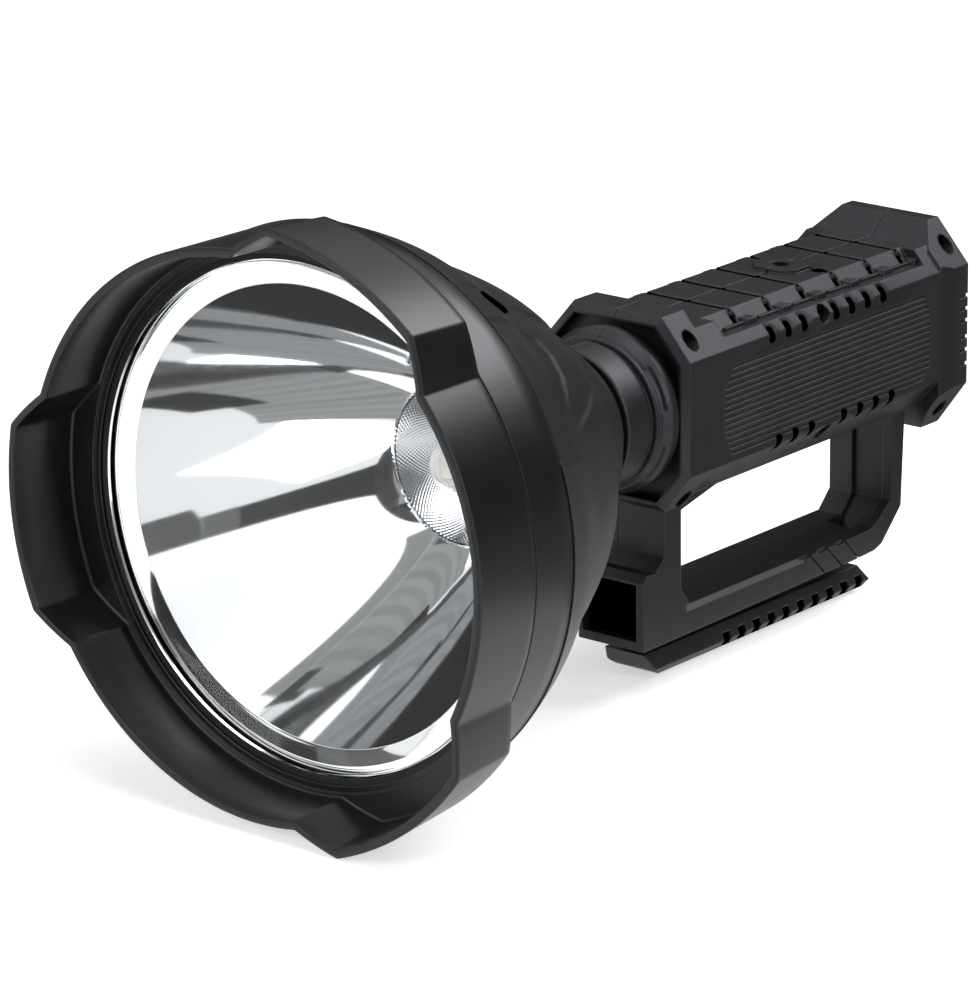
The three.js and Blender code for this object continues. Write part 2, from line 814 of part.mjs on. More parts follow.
function makeBezel() {
  const skirt = turned(
    [
      [0, 0],
      [rimRadius, 0],
      [rimRadius - skirtTaper, bezelLength],
      [0, bezelLength],
    ],
    wideFacets,
  );
  const lobe = prism(lobeOutline(0, rimRadius - bezelWall / 2), "y", 0, lobeLength);
  const hollow = prism(
    lobeOutline(bezelWall, rimRadius - 2 * bezelWall),
    "y",
    -overrun,
    mouthDepth,
  );
  const taperedLobe = tapered(lobe, lobeLength, lobeTaper);
  const lobes = thirds(firstLobeAngle).map((angle) => swung(taperedLobe, angle));
  const hollows = thirds(firstLobeAngle).map((angle) => swung(hollow, angle));
  const mouth = turned(
    [
      [0, -overrun],
      [rimRadius - bezelWall, -overrun],
      [rimRadius - bezelWall, mouthDepth],
      [windowRadius + floorStepWidth, mouthDepth],
      [windowRadius + floorStepWidth, mouthDepth + floorStepDepth],
      [windowRadius, mouthDepth + floorStepDepth],
      [windowRadius, mouthDepth + floorThickness],
      [bezelBore, mouthDepth + floorThickness],
      [bezelBore, bezelLength + overrun],
      [0, bezelLength + overrun],
    ],
    wideFacets,
  );
  return cut(join(skirt, ...lobes), mouth, ...hollows);
}

piece(head, "bezel", makeBezel(), materials.satin);

// Lens, gasket and reflector

function makeGasket() {
  return turned(
    [
      [lensRadius + slideGap, gasketFront],
      [lensRimRadius, gasketFront],
      [lensRimRadius, gasketFront + gasketThickness],
      [lensRadius + slideGap, gasketFront + gasketThickness],
    ],
    roundFacets,
  );
}

function makeLens() {
  return turned(
    [
      [0, lensFront],
      [lensRadius, lensFront],
      [lensRadius, lensRimFront],
      [lensRimRadius, lensRimFront],
      [lensRimRadius, lensRear],
      [0, lensRear],
    ],
    roundFacets,
  );
}

const bowlRadii = Array.from(
  { length: reflectorSteps + 1 },
  (_, k) => throatRadius + ((mouthRadius - throatRadius) * k) / reflectorSteps,
);

// The outside of the reflector's wall, square to the bowl at this radius.
function bowlOutside(radius) {
  const slope = radius / (2 * focalLength);
  const norm = Math.hypot(slope, 1);
  return [radius + (reflectorWall * slope) / norm, bowl(radius) + reflectorWall / norm];
}

function makeReflector() {
  const outside = bowlRadii.map(bowlOutside).filter(([, along]) => along < throatPlace);
  const body = turned(
    [
      ...bowlRadii.map((radius) => [radius, bowl(radius)]),
      [mouthRadius + mouthBevelWidth, flangeFace],
      [collarRadius, flangeFace],
      [collarRadius, flangeBack],
      ...outside.reverse(),
      [throatRadius + throatLip, throatPlace],
    ],
    roundFacets,
  );
  const bosses = thirds(shellScrewAngle).map((angle) => {
    const [x, z] = polar(shellScrewCircle, angle);
    return rod("y", bossRadius, flangeBack - flangeThickness / 2, bossEnd, x, z);
  });
  const holes = thirds(shellScrewAngle).map((angle) => {
    const [x, z] = polar(shellScrewCircle, angle);
    const tip = shellScrewSeat - shellScrewLength - seatGap;
    return rod("y", shankHole, tip, bossEnd + overrun, x, z);
  });
  return cut(join(body, ...bosses), ...holes);
}

function makeThroatInsert() {
  const widest = Math.sqrt(4 * focalLength * (apex - insertFront));
  const steps = 3;
  const curve = Array.from({ length: steps + 1 }, (_, k) => {
    const radius = insertBore + ((widest - insertBore) * k) / steps;
    return [radius, bowl(radius)];
  });
  return turned([
    ...curve,
    [throatRadius + throatLip, insertFront],
    [throatRadius + throatLip, insertRear],
    [insertBore, insertRear],
  ]);
}

piece(head, "lens_gasket", makeGasket(), materials.rubber);
piece(head, "lens", makeLens(), materials.clear);
piece(head, "reflector", makeReflector(), materials.chrome);
piece(head, "reflector_throat", makeThroatInsert(), materials.chrome);

// Light source

function makePedestal() {
  return turned(
    [
      [0, pedestalFront],
      [pedestalRadius, pedestalFront],
      [pedestalRadius, pedestalRear - pedestalFootHeight],
      [pedestalFootRadius, pedestalRear - pedestalFootHeight],
      [pedestalFootRadius, pedestalRear],
      [0, pedestalRear],
    ],
    fewFacets,
  );
}

function makeChip() {
  const half = chipSide / 2;
  return block(-half, half, domeBase - chipThickness, domeBase, -half, half);
}

function makeDome() {
  const steps = 4;
  const curve = Array.from({ length: steps + 1 }, (_, k) => {
    const angle = (Math.PI / 2) * (k / steps);
    return [domeRadius * Math.sin(angle), domeBase - domeHeight * Math.cos(angle)];
  });
  return turned(
    [
      ...curve,
      [domePocketRadius, domeBase],
      [domePocketRadius, domeBase - domePocketDepth],
      [0, domeBase - domePocketDepth],
    ],
    fewFacets,
  );
}

piece(head, "led_pedestal", makePedestal(), materials.copper);
piece(head, "led_chip", makeChip(), materials.phosphor);
piece(head, "led_dome", makeDome(), materials.clear);
piece(
  head,
  "led_board",
  rod("y", ledBoardRadius, ledBoardFront, ledBoardFront + ledBoardThickness, 0, 0, roundFacets),
  materials.board,
);

// Head shell

const shellSpline = new THREE.SplineCurve(
  shellOutlineShares.map(
    ([back, wide]) =>
      new THREE.Vector2(
        neckRadius + (shellFrontRadius - neckRadius) * wide,
        shellFront + shellLength * back,
      ),
  ),
);

// The shell's outside, or a line under it at a depth, from front to rear.
function shellLine(depth) {
  return Array.from({ length: shellSteps + 1 }, (_, k) => {
    const place = shellSpline.getPoint(k / shellSteps);
    const way = shellSpline.getTangent(k / shellSteps);
    return [place.x - depth * way.y, place.y + depth * way.x];
  });
}

// The radius of the shell's inside at a place along the beam.
function shellInside(along) {
  const line = shellLine(shellWall);
  const next = line.findIndex((point) => point[1] >= along);
  const [r0, y0] = line[next - 1];
  const [r1, y1] = line[next];
  return r0 + ((r1 - r0) * (along - y0)) / (y1 - y0);
}

function makeHeatSink() {
  const finCircleRadius = shellInside(sinkRear + finHeight) - finInset;
  const radius = shellInside(sinkRear) - seatGap;
  const base = rod("y", radius, sinkFront, sinkRear, 0, 0, roundFacets);
  const circle = rod("y", finCircleRadius, sinkFront, sinkRear + finHeight, 0, 0, roundFacets);
  const pitch = (2 * finCircleRadius) / finCount;
  const fins = Array.from({ length: finCount }, (_, k) => {
    const middle = (k - (finCount - 1) / 2) * pitch;
    return block(
      middle - finThickness / 2,
      middle + finThickness / 2,
      sinkRear - sinkBase / 2,
      sinkRear + finHeight,
      -finCircleRadius,
      finCircleRadius,
    ).intersect(circle);
  });
  return join(base, ...fins);
}

function sunkPanel(shares, depth) {
  const outline = shares.map(([across, back]) => [
    across * shellFrontRadius,
    shellFront + back * shellLength,
  ]);
  const skin = turned(
    [
      ...shellLine(depth),
      [shellFrontRadius + overrun, shellEnd],
      [shellFrontRadius + overrun, shellFront - overrun],
      [shellLine(depth)[0][0], shellFront - overrun],
    ],
    wideFacets,
  );
  const reach = prism(outline, "z", neckRadius, shellFrontRadius + overrun);
  return thirds(panelAngle).map((angle) => skin.intersect(swung(reach, angle - 90)));
}

function makeShell() {
  const outside = turned(
    [
      [0, collarFront],
      [collarRadius, collarFront],
      [collarRadius, shellFront],
      ...shellLine(0),
      [neckRadius, shellEnd + shellStubLength / 2],
      [neckRadius, stubEnd],
      [spigotRadius, stubEnd],
      [spigotRadius, stubEnd + spigotGrooveSetback],
      [spigotRadius - spigotGrooveDepth, stubEnd + spigotGrooveSetback],
      [spigotRadius - spigotGrooveDepth, stubEnd + spigotGrooveSetback + spigotGrooveWidth],
      [spigotRadius, stubEnd + spigotGrooveSetback + spigotGrooveWidth],
      [spigotRadius, spigotEnd],
      [0, spigotEnd],
    ],
    wideFacets,
  );
  const bore = spigotRadius - spigotWall;
  const inside = turned(
    [
      [0, collarFront - overrun],
      [collarRadius - collarWall, collarFront - overrun],
      ...shellLine(shellWall).filter(
        ([radius, along]) => radius < collarRadius - collarWall && along < shellEnd,
      ),
      [bore, shellEnd],
      [bore, spigotEnd + overrun],
      [0, spigotEnd + overrun],
    ],
    roundFacets,
  );
  const posts = thirds(shellScrewAngle).map((angle) => {
    const [x, z] = polar(shellScrewCircle, angle);
    const post = rod("y", shankHole + shellPostWall, bossEnd + seatGap, shellEnd, x, z);
    return post.intersect(outside);
  });
  const holes = thirds(shellScrewAngle).flatMap((angle) => {
    const [x, z] = polar(shellScrewCircle, angle);
    return [
      rod("y", shankHole, flangeBack, shellScrewSeat + overrun, x, z),
      rod("y", counterboreRadius, shellScrewSeat, shellEnd, x, z),
    ];
  });
  return cut(
    join(cut(outside, inside), ...posts),
    ...sunkPanel(shallowPanelShares, shallowPanelDepth),
    ...sunkPanel(deepPanelShares, deepPanelDepth),
    ...holes,
  );
}

// A screw along +Y: its head is above the seat at y = 0, and its shank goes down.
function makeScrew(length) {
  const body = turned(
    [
      [0, seatGap + headLength],
      [headRadius, seatGap + headLength],
      [headRadius, seatGap],
      [shankRadius, seatGap],
      [shankRadius, -length],
      [0, -length],
    ],
    smallFacets,
  );
  const socket = rod(
    "y",
    socketRadius,
    seatGap + headLength - socketDepth,
    seatGap + headLength + overrun,
    0,
    0,
    socketFacets,
  );
  return cut(body, socket);
}

piece(head, "heat_sink", makeHeatSink(), materials.aluminium);
piece(head, "head_shell", makeShell(), materials.plastic);
thirds(shellScrewAngle).forEach((angle, k) => {
  const [x, z] = polar(shellScrewCircle, angle);
  const made = placed(makeScrew(shellScrewLength), x, shellScrewSeat, z);
  piece(head, `shell_screw_${k + 1}`, made, materials.steel);
});

// Neck

function makeNeck() {
  const bore = spigotRadius + seatGap;
  const wireBore = neckSpigotRadius - neckSpigotWall;
  const innerRadius = neckRadius + neckInnerStep;
  const slotFront = neckRidge + slotSetback;
  const ringFront = stubEnd + spigotGrooveSetback + seatGap;
  const ringRear = ringFront + spigotGrooveWidth - 2 * seatGap;
  const ringRadius = spigotRadius - spigotGrooveDepth + seatGap;
  const body = turned(
    [
      [neckRadius - neckEdge, neckStart],
      [neckRadius, neckStart + neckEdge],
      [neckRadius, neckWaistStart],
      [neckRadius - neckWaistDepth, neckWaistEnd - neckWaistDepth / 2],
      [neckRadius - neckWaistDepth, neckWaistEnd],
      [neckRadius, neckRidge],
      [neckRadius + neckSwell, neckRidge + neckSwell],
      [neckRadius + neckBulge, bulgeStart],
      [neckRadius + neckBulge, bulgeEnd],
      [innerRadius, bulgeEnd + neckSwell],
      [innerRadius, neckShoulderEnd],
      [neckSpigotRadius, neckShoulderEnd],
      [neckSpigotRadius, neckFlangeFront],
      [neckFlangeRadius, neckFlangeFront],
      [neckFlangeRadius, neckEnd],
      [wireBore, neckEnd],
      [wireBore, spigotEnd + seatGap],
      [bore, spigotEnd + seatGap],
      [bore, ringRear],
      [ringRadius, ringRear],
      [ringRadius, ringFront],
      [bore, ringFront],
      [bore, neckStart],
    ],
    roundFacets,
  );
  const slotRing = turned(
    [
      [neckRadius + neckSwell - slotDepth, slotFront],
      [neckRadius + neckSwell + overrun, slotFront],
      [neckRadius + neckSwell + overrun, slotFront + slotWidth],
      [neckRadius + neckSwell - slotDepth, slotFront + slotWidth],
    ],
    roundFacets,
  );
  const slots = slotAngles.flatMap((angle) => {
    const reach = 2 * neckRadius;
    const wedge = prism(
      [[0, 0], polar(reach, angle), polar(reach, angle + slotSpan)],
      "y",
      slotFront - overrun,
      slotFront + overrun,
    );
    return [slotRing.intersect(wedge), slotRing.intersect(swung(wedge, 180))];
  });
  return cut(body, ...slots);
}

// The half of a solid on one side of the plane x = 0, with half a gap left at the cut.
function half(made, side) {
  const reach = 2 * rimRadius;
  const near = (side * seatGap) / 2;
  const far = side * reach;
  return made.intersect(
    block(Math.min(near, far), Math.max(near, far), 0, 2 * flangeRear, -reach, reach),
  );
}

const neck = makeNeck();
piece(rear, "neck_left", half(neck, 1), materials.plastic);
piece(rear, "neck_right", half(neck, -1), materials.plastic);

// Housing

const frameOutline = bothSides([
  [columnHalfWidth, frameBottom],
  [bodyHalfWidth, hipHeight],
  [bodyHalfWidth, shoulderHeight],
  [frameTopHalfWidth, frameTop],
]);

// The half width of the frame's upper slope at a height.
const slopeAt = (height) =>
  bodyHalfWidth -
  ((bodyHalfWidth - frameTopHalfWidth) * (height - shoulderHeight)) / (frameTop - shoulderHeight);

const bodyOutline = bothSides([
  [columnHalfWidth, bodyBottom],
  [bodyHalfWidth, hipHeight],
  [bodyHalfWidth, shoulderHeight],
  [slopeAt(deckHeight), deckHeight],
]);

const channelOutline = bothSides([
  [columnHalfWidth, bodyBottom],
  [bodyHalfWidth, hipHeight],
  [bodyHalfWidth, shoulderHeight],
  [slopeAt(ledgeHeight), ledgeHeight],
  [deckHalfWidth + ledgeSlope, ledgeHeight],
  [deckHalfWidth, deckHeight],
]);

const cavityOutline = inset(channelOutline, bodyWall);
const cavityHalfWidth = bodyHalfWidth - bodyWall;

const rearOpeningOutline = bothSides([
  [rearOpeningHalfWidth - rearOpeningCorner, rearOpeningBottom],
  [rearOpeningHalfWidth, rearOpeningBottom + rearOpeningCorner],
  [rearOpeningHalfWidth, rearOpeningTop - rearOpeningCorner],
  [rearOpeningHalfWidth - rearOpeningCorner, rearOpeningTop],
]);

function makeFlange() {
  const across = prism(
    bothSides([
      [columnHalfWidth, flangeBottom],
      [flangeHalfWidth, flangeHip],
      [flangeHalfWidth, shoulderHeight],
      [frameTopHalfWidth, flangeTop],
    ]),
    "y",
    flangeFront,
    flangeRear,
  );
  const alongSide = prism(
    [
      [flangeFront, bodyBottom],
      [flangeFront, deckHeight - bodyWall / 2],
      [flangeFront + flangeSlope, flangeTop],
      [flangeRear, flangeTop],
      [flangeRear, flangeBottom],
      [flangeFront + flangeSideSlope, flangeBottom],
    ],
    "x",
    -flangeHalfWidth,
    flangeHalfWidth,
  );
  const sideFront = flangeFront + flangeSideSetback;
  const alongTop = prism(
    bothSides([
      [flangeHalfWidth, flangeRear],
      [flangeHalfWidth, sideFront + flangeSideSlope],
      [bodyHalfWidth, sideFront],
      [bodyHalfWidth, flangeFront],
    ]),
    "z",
    flangeBottom,
    flangeTop,
  );
  const steps = gripStepShares.flatMap((share) =>
    [1, -1].map((side) => {
      const height = flangeHip + share * (shoulderHeight - flangeHip);
      const inner = side * (flangeHalfWidth - gripStepDepth);
      const outer = side * (flangeHalfWidth + overrun);
      return block(
        Math.min(inner, outer),
        Math.max(inner, outer),
        flangeRear - gripStepLength,
        flangeRear + overrun,
        height - gripStepWidth / 2,
        height + gripStepWidth / 2,
      );
    }),
  );
  return cut(across.intersect(alongSide).intersect(alongTop), ...steps);
}

// Points given as shares of a length and a height, counted from a corner.
const scaled = (shares, along, length, height, rise) =>
  shares.map(([back, up]) => [along + back * length, height + up * rise]);

function makeHandle() {
  const columnOut = columnFace - columnTopFace;
  const outer = prism(
    [
      [columnTopFace, bodyBottom + bodyWall],
      ...scaled(columnStepShares, columnTopFace, columnOut, bodyBottom, -gripHeight),
      [columnFace, barFrontBottom],
      ...scaled(rearFootShares, rearFootFront, rearFootLength, barRearBottom, rearFootHeight),
      [rearColumnBack, bodyBottom + bodyWall],
    ],
    "x",
    -handleFarWidth,
    columnHalfWidth,
  );
  const gripHole = prism(
    scaled(gripShares, gripFront, gripRear - gripFront, bodyBottom, -gripHeight),
    "x",
    -columnHalfWidth - overrun,
    columnHalfWidth + overrun,
  );
  const trackRear = gripRear + gripTrackSetback;
  const trackMiddle = barTop - gripTrackDepth + gripCrown;
  const barTrack = prism(
    [
      [gripTrackHalfWidth, bodyBottom],
      [gripTrackHalfWidth, barTop - gripTrackDepth],
      [0, trackMiddle],
      [-handleFarWidth - overrun, trackMiddle],
      [-handleFarWidth - overrun, bodyBottom],
    ],
    "y",
    gripFront,
    trackRear - gripTrackCorner,
  );
  const rearTrack = prism(
    [
      [gripRear - overrun, bodyBottom],
      [trackRear, bodyBottom],
      [trackRear, trackMiddle + gripTrackCorner],
      [trackRear - gripTrackCorner, trackMiddle],
      [gripRear - overrun, trackMiddle],
    ],
    "x",
    -handleFarWidth - overrun,
    gripTrackHalfWidth,
  );
  const pocketRear = gripRear + gripPocketSetback;
  const pocketFloor = barTop - gripPocketDepth;
  const pocket = prism(
    [
      [gripRear - overrun, bodyBottom],
      [pocketRear, bodyBottom],
      [pocketRear, pocketFloor + gripPocketCorner],
      [pocketRear - gripPocketCorner, pocketFloor],
      [gripRear - gripPocketFrontGap, pocketFloor],
      [gripRear - gripPocketFrontGap, barTop],
      [gripRear - overrun, barTop],
    ],
    "x",
    0,
    columnHalfWidth - gripPocketWall,
  );
  const farBevel = prism(
    [
      [-handleFarWidth - overrun, columnFace - overrun],
      [handleFarBevel - handleFarWidth + overrun, columnFace - overrun],
      [-handleFarWidth - overrun, columnFace + handleFarBevel + overrun],
    ],
    "z",
    barFrontBottom - overrun,
    bodyBottom,
  );
  const recessTop = barFrontBottom + columnRecessRim + columnRecessHeight;
  const recess = block(
    columnRecessRim - handleFarWidth,
    columnHalfWidth - columnRecessRim,
    columnFace - overrun,
    columnFace + columnRecessDepth,
    barFrontBottom + columnRecessRim,
    recessTop,
  );
  const inner = columnHalfWidth - barStepDepth;
  const outside = columnHalfWidth + overrun;
  const steps = barStepSetbacks.map((setback) => {
    const along = gripRear - setback;
    return prism(
      [
        [along, barTop + overrun],
        [along + barStepWidth, barTop + overrun],
        [along + barStepWidth, barTop],
        [along + barStepWidth + barStepRun, barRearBottom],
        [along + barStepRun, barRearBottom],
        [along, barTop],
      ],
      "x",
      inner,
      outside,
    );
  });
  const stripNotches = barStepSetbacks.map((setback) =>
    block(
      inner - barStepDepth,
      outside,
      gripRear - setback - barNotchLength,
      gripRear - setback + barStepWidth,
      barTop - barStepDepth,
      barTop + overrun,
    ),
  );
  const openings = [gripHole, barTrack, rearTrack, pocket, farBevel, recess];
  return cut(outer, ...openings, ...steps, ...stripNotches);
}

// The small wedge cuts along both edges of each side.
function notches(start, pitch, edgeX, edgeZ) {
  const lower = edgeZ < 0;
  return Array.from({ length: notchCount }, (_, k) => k)
    .filter((k) => k !== screwNotch)
    .flatMap((k) =>
      [1, -1].map((side) => {
        const inner = side * (edgeX - notchDepth);
        const outer = side * (bodyHalfWidth + overrun);
        const along = start + k * pitch;
        return block(
          Math.min(inner, outer),
          Math.max(inner, outer),
          along - notchWidth / 2,
          along + notchWidth / 2,
          lower ? edgeZ - overrun : edgeZ,
          lower ? edgeZ : edgeZ + overrun,
        );
      }),
    );
}

function sideRibs() {
  const front = frameRear + ribPanelFrontGap;
  const back = flangeFront - ribPanelRearGap;
  const ribTop = shoulderHeight - ribTopDrop;
  const ribBottom = hipHeight + ribBottomRise;
  const outline = [
    [front + (3 * ribPanelCorner) / 4, ribTop],
    [back - ribPanelCorner / 2, ribTop],
    [back, ribTop - ribPanelCorner],
    [back, ribBottom + ribPanelCorner / 2],
    [back - ribPanelCorner / 2, ribBottom],
    [front + ribPanelCorner / 2, ribBottom],
    [front, ribBottom + ribPanelCorner],
    [front, ribTop - ribPanelCorner],
  ];
  const pitch = (ribTop - ribBottom) / ribCount;
  return [1, -1].flatMap((side) => {
    const inner = side * (bodyHalfWidth - ribPanelDepth);
    const outer = side * (bodyHalfWidth + overrun);
    const panel = prism(outline, "x", Math.min(inner, outer), Math.max(inner, outer));
    return Array.from({ length: ribCount }, (_, k) => {
      const bottom = ribBottom + k * pitch;
      const reach = bodyHalfWidth + overrun;
      const top = bottom + pitch * ribGrooveShare;
      return panel.intersect(block(-reach, reach, 0, flangeRear, bottom, top));
    });
  });
}

function makeHousing() {
  const frame = join(
    prism(frameOutline, "y", frameFront, frameFront + 3 * frameBevelLength, {
      length: frameBevelLength,
      inset: frameBevelInset,
    }),
    prism(frameOutline, "y", frameFront + frameBevelLength, frameRear),
  );
  const body = prism(bodyOutline, "y", frameRear - bodyWall, flangeFront + flangeSlope);
  const pad = prism(
    bothSides([
      [padHalfWidth, padCentre - padLength / 2 + padCorner],
      [padHalfWidth, padCentre + padLength / 2 - padCorner],
      [padHalfWidth - padCorner, padCentre + padLength / 2],
    ]).concat(
      bothSides([[padHalfWidth - padCorner, padCentre - padLength / 2]]).reverse(),
    ),
    "z",
    deckHeight - bodyWall / 2,
    deckHeight + padHeight,
  );
  const channel = [
    [bodyHalfWidth + overrun, ledgeHeight],
    [deckHalfWidth + ledgeSlope, ledgeHeight],
    [deckHalfWidth, deckHeight],
    [deckHalfWidth, deckHeight + overrun],
    [bodyHalfWidth + overrun, deckHeight + overrun],
  ];
  const channelSides = [1, -1].map((side) =>
    prism(
      channel.map(([x, z]) => [side * x, z]),
      "y",
      frameRear + channelFrontGap,
      flangeFront - channelRearGap,
    ),
  );
  const grooves = deckGrooveShares.map((share) => {
    const along = frameRear + share * bodyLength;
    return block(
      -deckHalfWidth - overrun,
      deckHalfWidth + overrun,
      along - deckGrooveWidth / 2,
      along + deckGrooveWidth / 2,
      deckHeight - deckGrooveDepth,
      deckHeight + overrun,
    );
  });
  const grooved = cut(join(frame, body, makeFlange(), makeHandle()), ...channelSides, ...grooves);
  const envelope = join(grooved, pad);
  const hollow = cut(
    envelope,
    prism(cavityOutline, "y", bulkheadRear, cavityRear),
    prism(rearOpeningOutline, "y", bulkheadRear, flangeRear + overrun),
  );
  const bosses = caseScrews.flatMap(({ along, height, bossStart = 0 }) => {
    const reach = bodyHalfWidth + overrun;
    return [
      rod("x", caseBossRadius, -reach, -bossStart, along, height),
      rod("x", caseBossRadius, bossStart, reach, along, height),
    ];
  });
  const bush = rod(
    "z",
    bushRadius + seatGap + bushWall,
    bushBottom - seatGap - bushFloor,
    deckHeight,
    0,
    padCentre,
  );
  const panelPosts = [1, -1].map((side) =>
    rod(
      "y",
      panelPostRadius,
      panelPostFront,
      panelFront - seatGap,
      side * panelScrewAcross,
      panelScrewHeight,
    ),
  );
  const filled = join(
    hollow,
    ...bosses.map((made) => made.intersect(envelope)),
    bush.intersect(envelope),
    ...panelPosts,
    ...panelPosts.map((made, k) => {
      const side = k ? -1 : 1;
      const near = side * panelScrewAcross;
      const far = side * (cavityHalfWidth + bodyWall / 2);
      return block(
        Math.min(near, far),
        Math.max(near, far),
        panelPostFront,
        panelFront - seatGap,
        panelScrewHeight - panelPostRadius,
        panelScrewHeight + panelPostRadius,
      );
    }),
  );
  const screwHoles = caseScrews.flatMap(({ along, height, seat, tip }) => [
    rod("x", shankHole, -tip - seatGap, seat + overrun, along, height),
    rod("x", counterboreRadius, seat, flangeHalfWidth + overrun, along, height),
  ]);
  const panelHoles = [1, -1].map((side) =>
    rod(
      "y",
      shankHole,
      panelRear - panelScrewLength - seatGap,
      panelRear,
      side * panelScrewAcross,
      panelScrewHeight,
    ),
  );
  const railHoles = railScrews.map(({ across, along }) =>
    rod(
      "z",
      shankHole,
      barFrontBottom - overrun,
      railScrewSeat + railScrewLength + seatGap,
      across,
      along,
    ),
  );
  return cut(
    filled,
    prism(inset(frameOutline, recessInset), "y", frameFront - overrun, recessRear),
    prism(
      inset(rearOpeningOutline, -panelLedge),
      "y",
      panelFront - seatGap,
      flangeRear + overrun,
    ),
    rod("y", neckSpigotRadius + seatGap, 0, bulkheadRear + overrun, 0, 0, roundFacets),
    ...screwHoles,
    ...panelHoles,
    ...railHoles,
    rod("z", bushRadius + seatGap, bushBottom - seatGap, deckHeight + overrun, 0, padCentre),
    ...notches(upperNotchStart, upperNotchPitch, bodyHalfWidth, shoulderHeight),
    ...notches(lowerNotchStart, lowerNotchPitch, bodyHalfWidth, hipHeight - notchDepth),
    ...sideRibs(),
  );
}

const housing = makeHousing();
piece(rear, "housing_left", half(housing, 1), materials.plastic);
piece(rear, "housing_right", half(housing, -1), materials.plastic);

caseScrews.forEach(({ along, height, seat, tip }, k) => {
  const geometry = geometryOf(makeScrew(seat + tip)).rotateZ(-Math.PI / 2);
  geometry.translate(seat, along, height);
  piece(rear, `case_screw_${k + 1}`, solid(geometry), materials.steel);
});

piece(
  rear,
  "top_insert",
  cut(
    rod("z", bushRadius, bushBottom, bushTop, 0, padCentre, fewFacets),
    rod("z", bushBore, bushBottom - overrun, bushTop + overrun, 0, padCentre, fewFacets),
  ),
  materials.brass,
);

// Rail

function makeRail() {
  const section = prism(
    bothSides([
      [railHalfWidth - railBottomInset, railBottom],
      [railHalfWidth, railWidest],
      [railHalfWidth - railTopInset, railTop],
    ]),
    "y",
    railFrontTop,
    railRearTip,
  );
  const side = prism(
    [
      [railFrontTop, railTop],
      [railFrontTop + railTipLength, railBottom + railTipRise],
      [railFrontBottom, railBottom],
      [railRearTip - railRearUndercut, railBottom],
      [railRearTip, railWidest],
      [railRearTip - railRearSlope, railTop],
    ],
    "x",
    -railHalfWidth,
    railHalfWidth,
  );
  const rise = (barRearBottom - barFrontBottom) / (rearFootFront - columnFace);
  const underBar = (along) => barFrontBottom + rise * (along - columnFace) - seatGap;
  const web = prism(
    [
      [railFrontBottom, railTop - seatGap],
      [railFrontBottom, underBar(railFrontBottom)],
      [rearFootFront, underBar(rearFootFront)],
      [rearFootFront, railTop - seatGap],
    ],
    "x",
    railWebInset - railHalfWidth,
    railHalfWidth - railWebInset,
  );
  const slots = Array.from({ length: railNotchCount }, (_, k) => {
    const along = railNotchStart + k * railNotchPitch;
    return block(
      -railHalfWidth - overrun,
      railHalfWidth + overrun,
      along - railNotchWidth / 2,
      along + railNotchWidth / 2,
      railBottom - overrun,
      railNotchTop,
    );
  });
  const holes = railScrews.flatMap(({ across, along }) => [
    rod("z", shankHole, railBottom, barRearBottom, across, along),
    rod("z", counterboreRadius, railBottom - overrun, railScrewSeat, across, along),
  ]);
  return cut(join(section.intersect(side), web), ...slots, ...holes);
}

piece(rear, "rail", makeRail(), materials.plastic);
railScrews.forEach(({ across, along }, k) => {
  const geometry = geometryOf(makeScrew(railScrewLength)).rotateX(-Math.PI / 2);
  geometry.translate(across, along, railScrewSeat);
  piece(rear, `rail_screw_${k + 1}`, solid(geometry), materials.steel);
});

// Battery pack and boards, carried by the walls of the cavity

const boardOutline = inset(cavityOutline, seatGap);

function makeCell(x, z) {
  const sleeveEnd = packRear - cellNippleHeight;
  return join(
    rod("y", cellRadius, packFront, sleeveEnd, x, z, fewFacets),
    rod("y", cellNippleRadius, sleeveEnd - cellNippleHeight, packRear, x, z),
  );
}

[1, -1].forEach((upper, row) =>
  [1, -1].forEach((side, column) => {
    const x = (side * cellPitch) / 2;
    const z = packHeight + (upper * cellPitch) / 2;
    piece(rear, `battery_cell_${row * 2 + column + 1}`, makeCell(x, z), materials.cell);
  }),
);

piece(
  rear,
  "battery_plate_front",
  prism(boardOutline, "y", packFront - seatGap - plateThickness, packFront - seatGap),
  materials.rubber,
);
piece(
  rear,
  "battery_plate_rear",
  prism(boardOutline, "y", packRear + seatGap, packRear + seatGap + plateThickness),
  materials.rubber,
);

function makeDriverBoard() {
  const back = driverBoardPlace + boardThickness;
  const inside = driverBoardPlace + boardThickness / 2;
  return join(
    prism(boardOutline, "y", driverBoardPlace, back),
    rod("y", coilRadius, inside, back + coilHeight, partSpread, 0),
    rod("y", capacitorRadius, inside, back + capacitorHeight, -partSpread, 0),
    rod("y", capacitorRadius, inside, back + capacitorHeight, 0, -partSpread),
  );
}

piece(rear, "driver_board", makeDriverBoard(), materials.board);
piece(
  rear,
  "charge_board",
  prism(boardOutline, "y", chargeBoardPlace, chargeBoardPlace + boardThickness),
  materials.board,
);

// Rear panel and what it holds

const boardBack = chargeBoardPlace + boardThickness + seatGap;

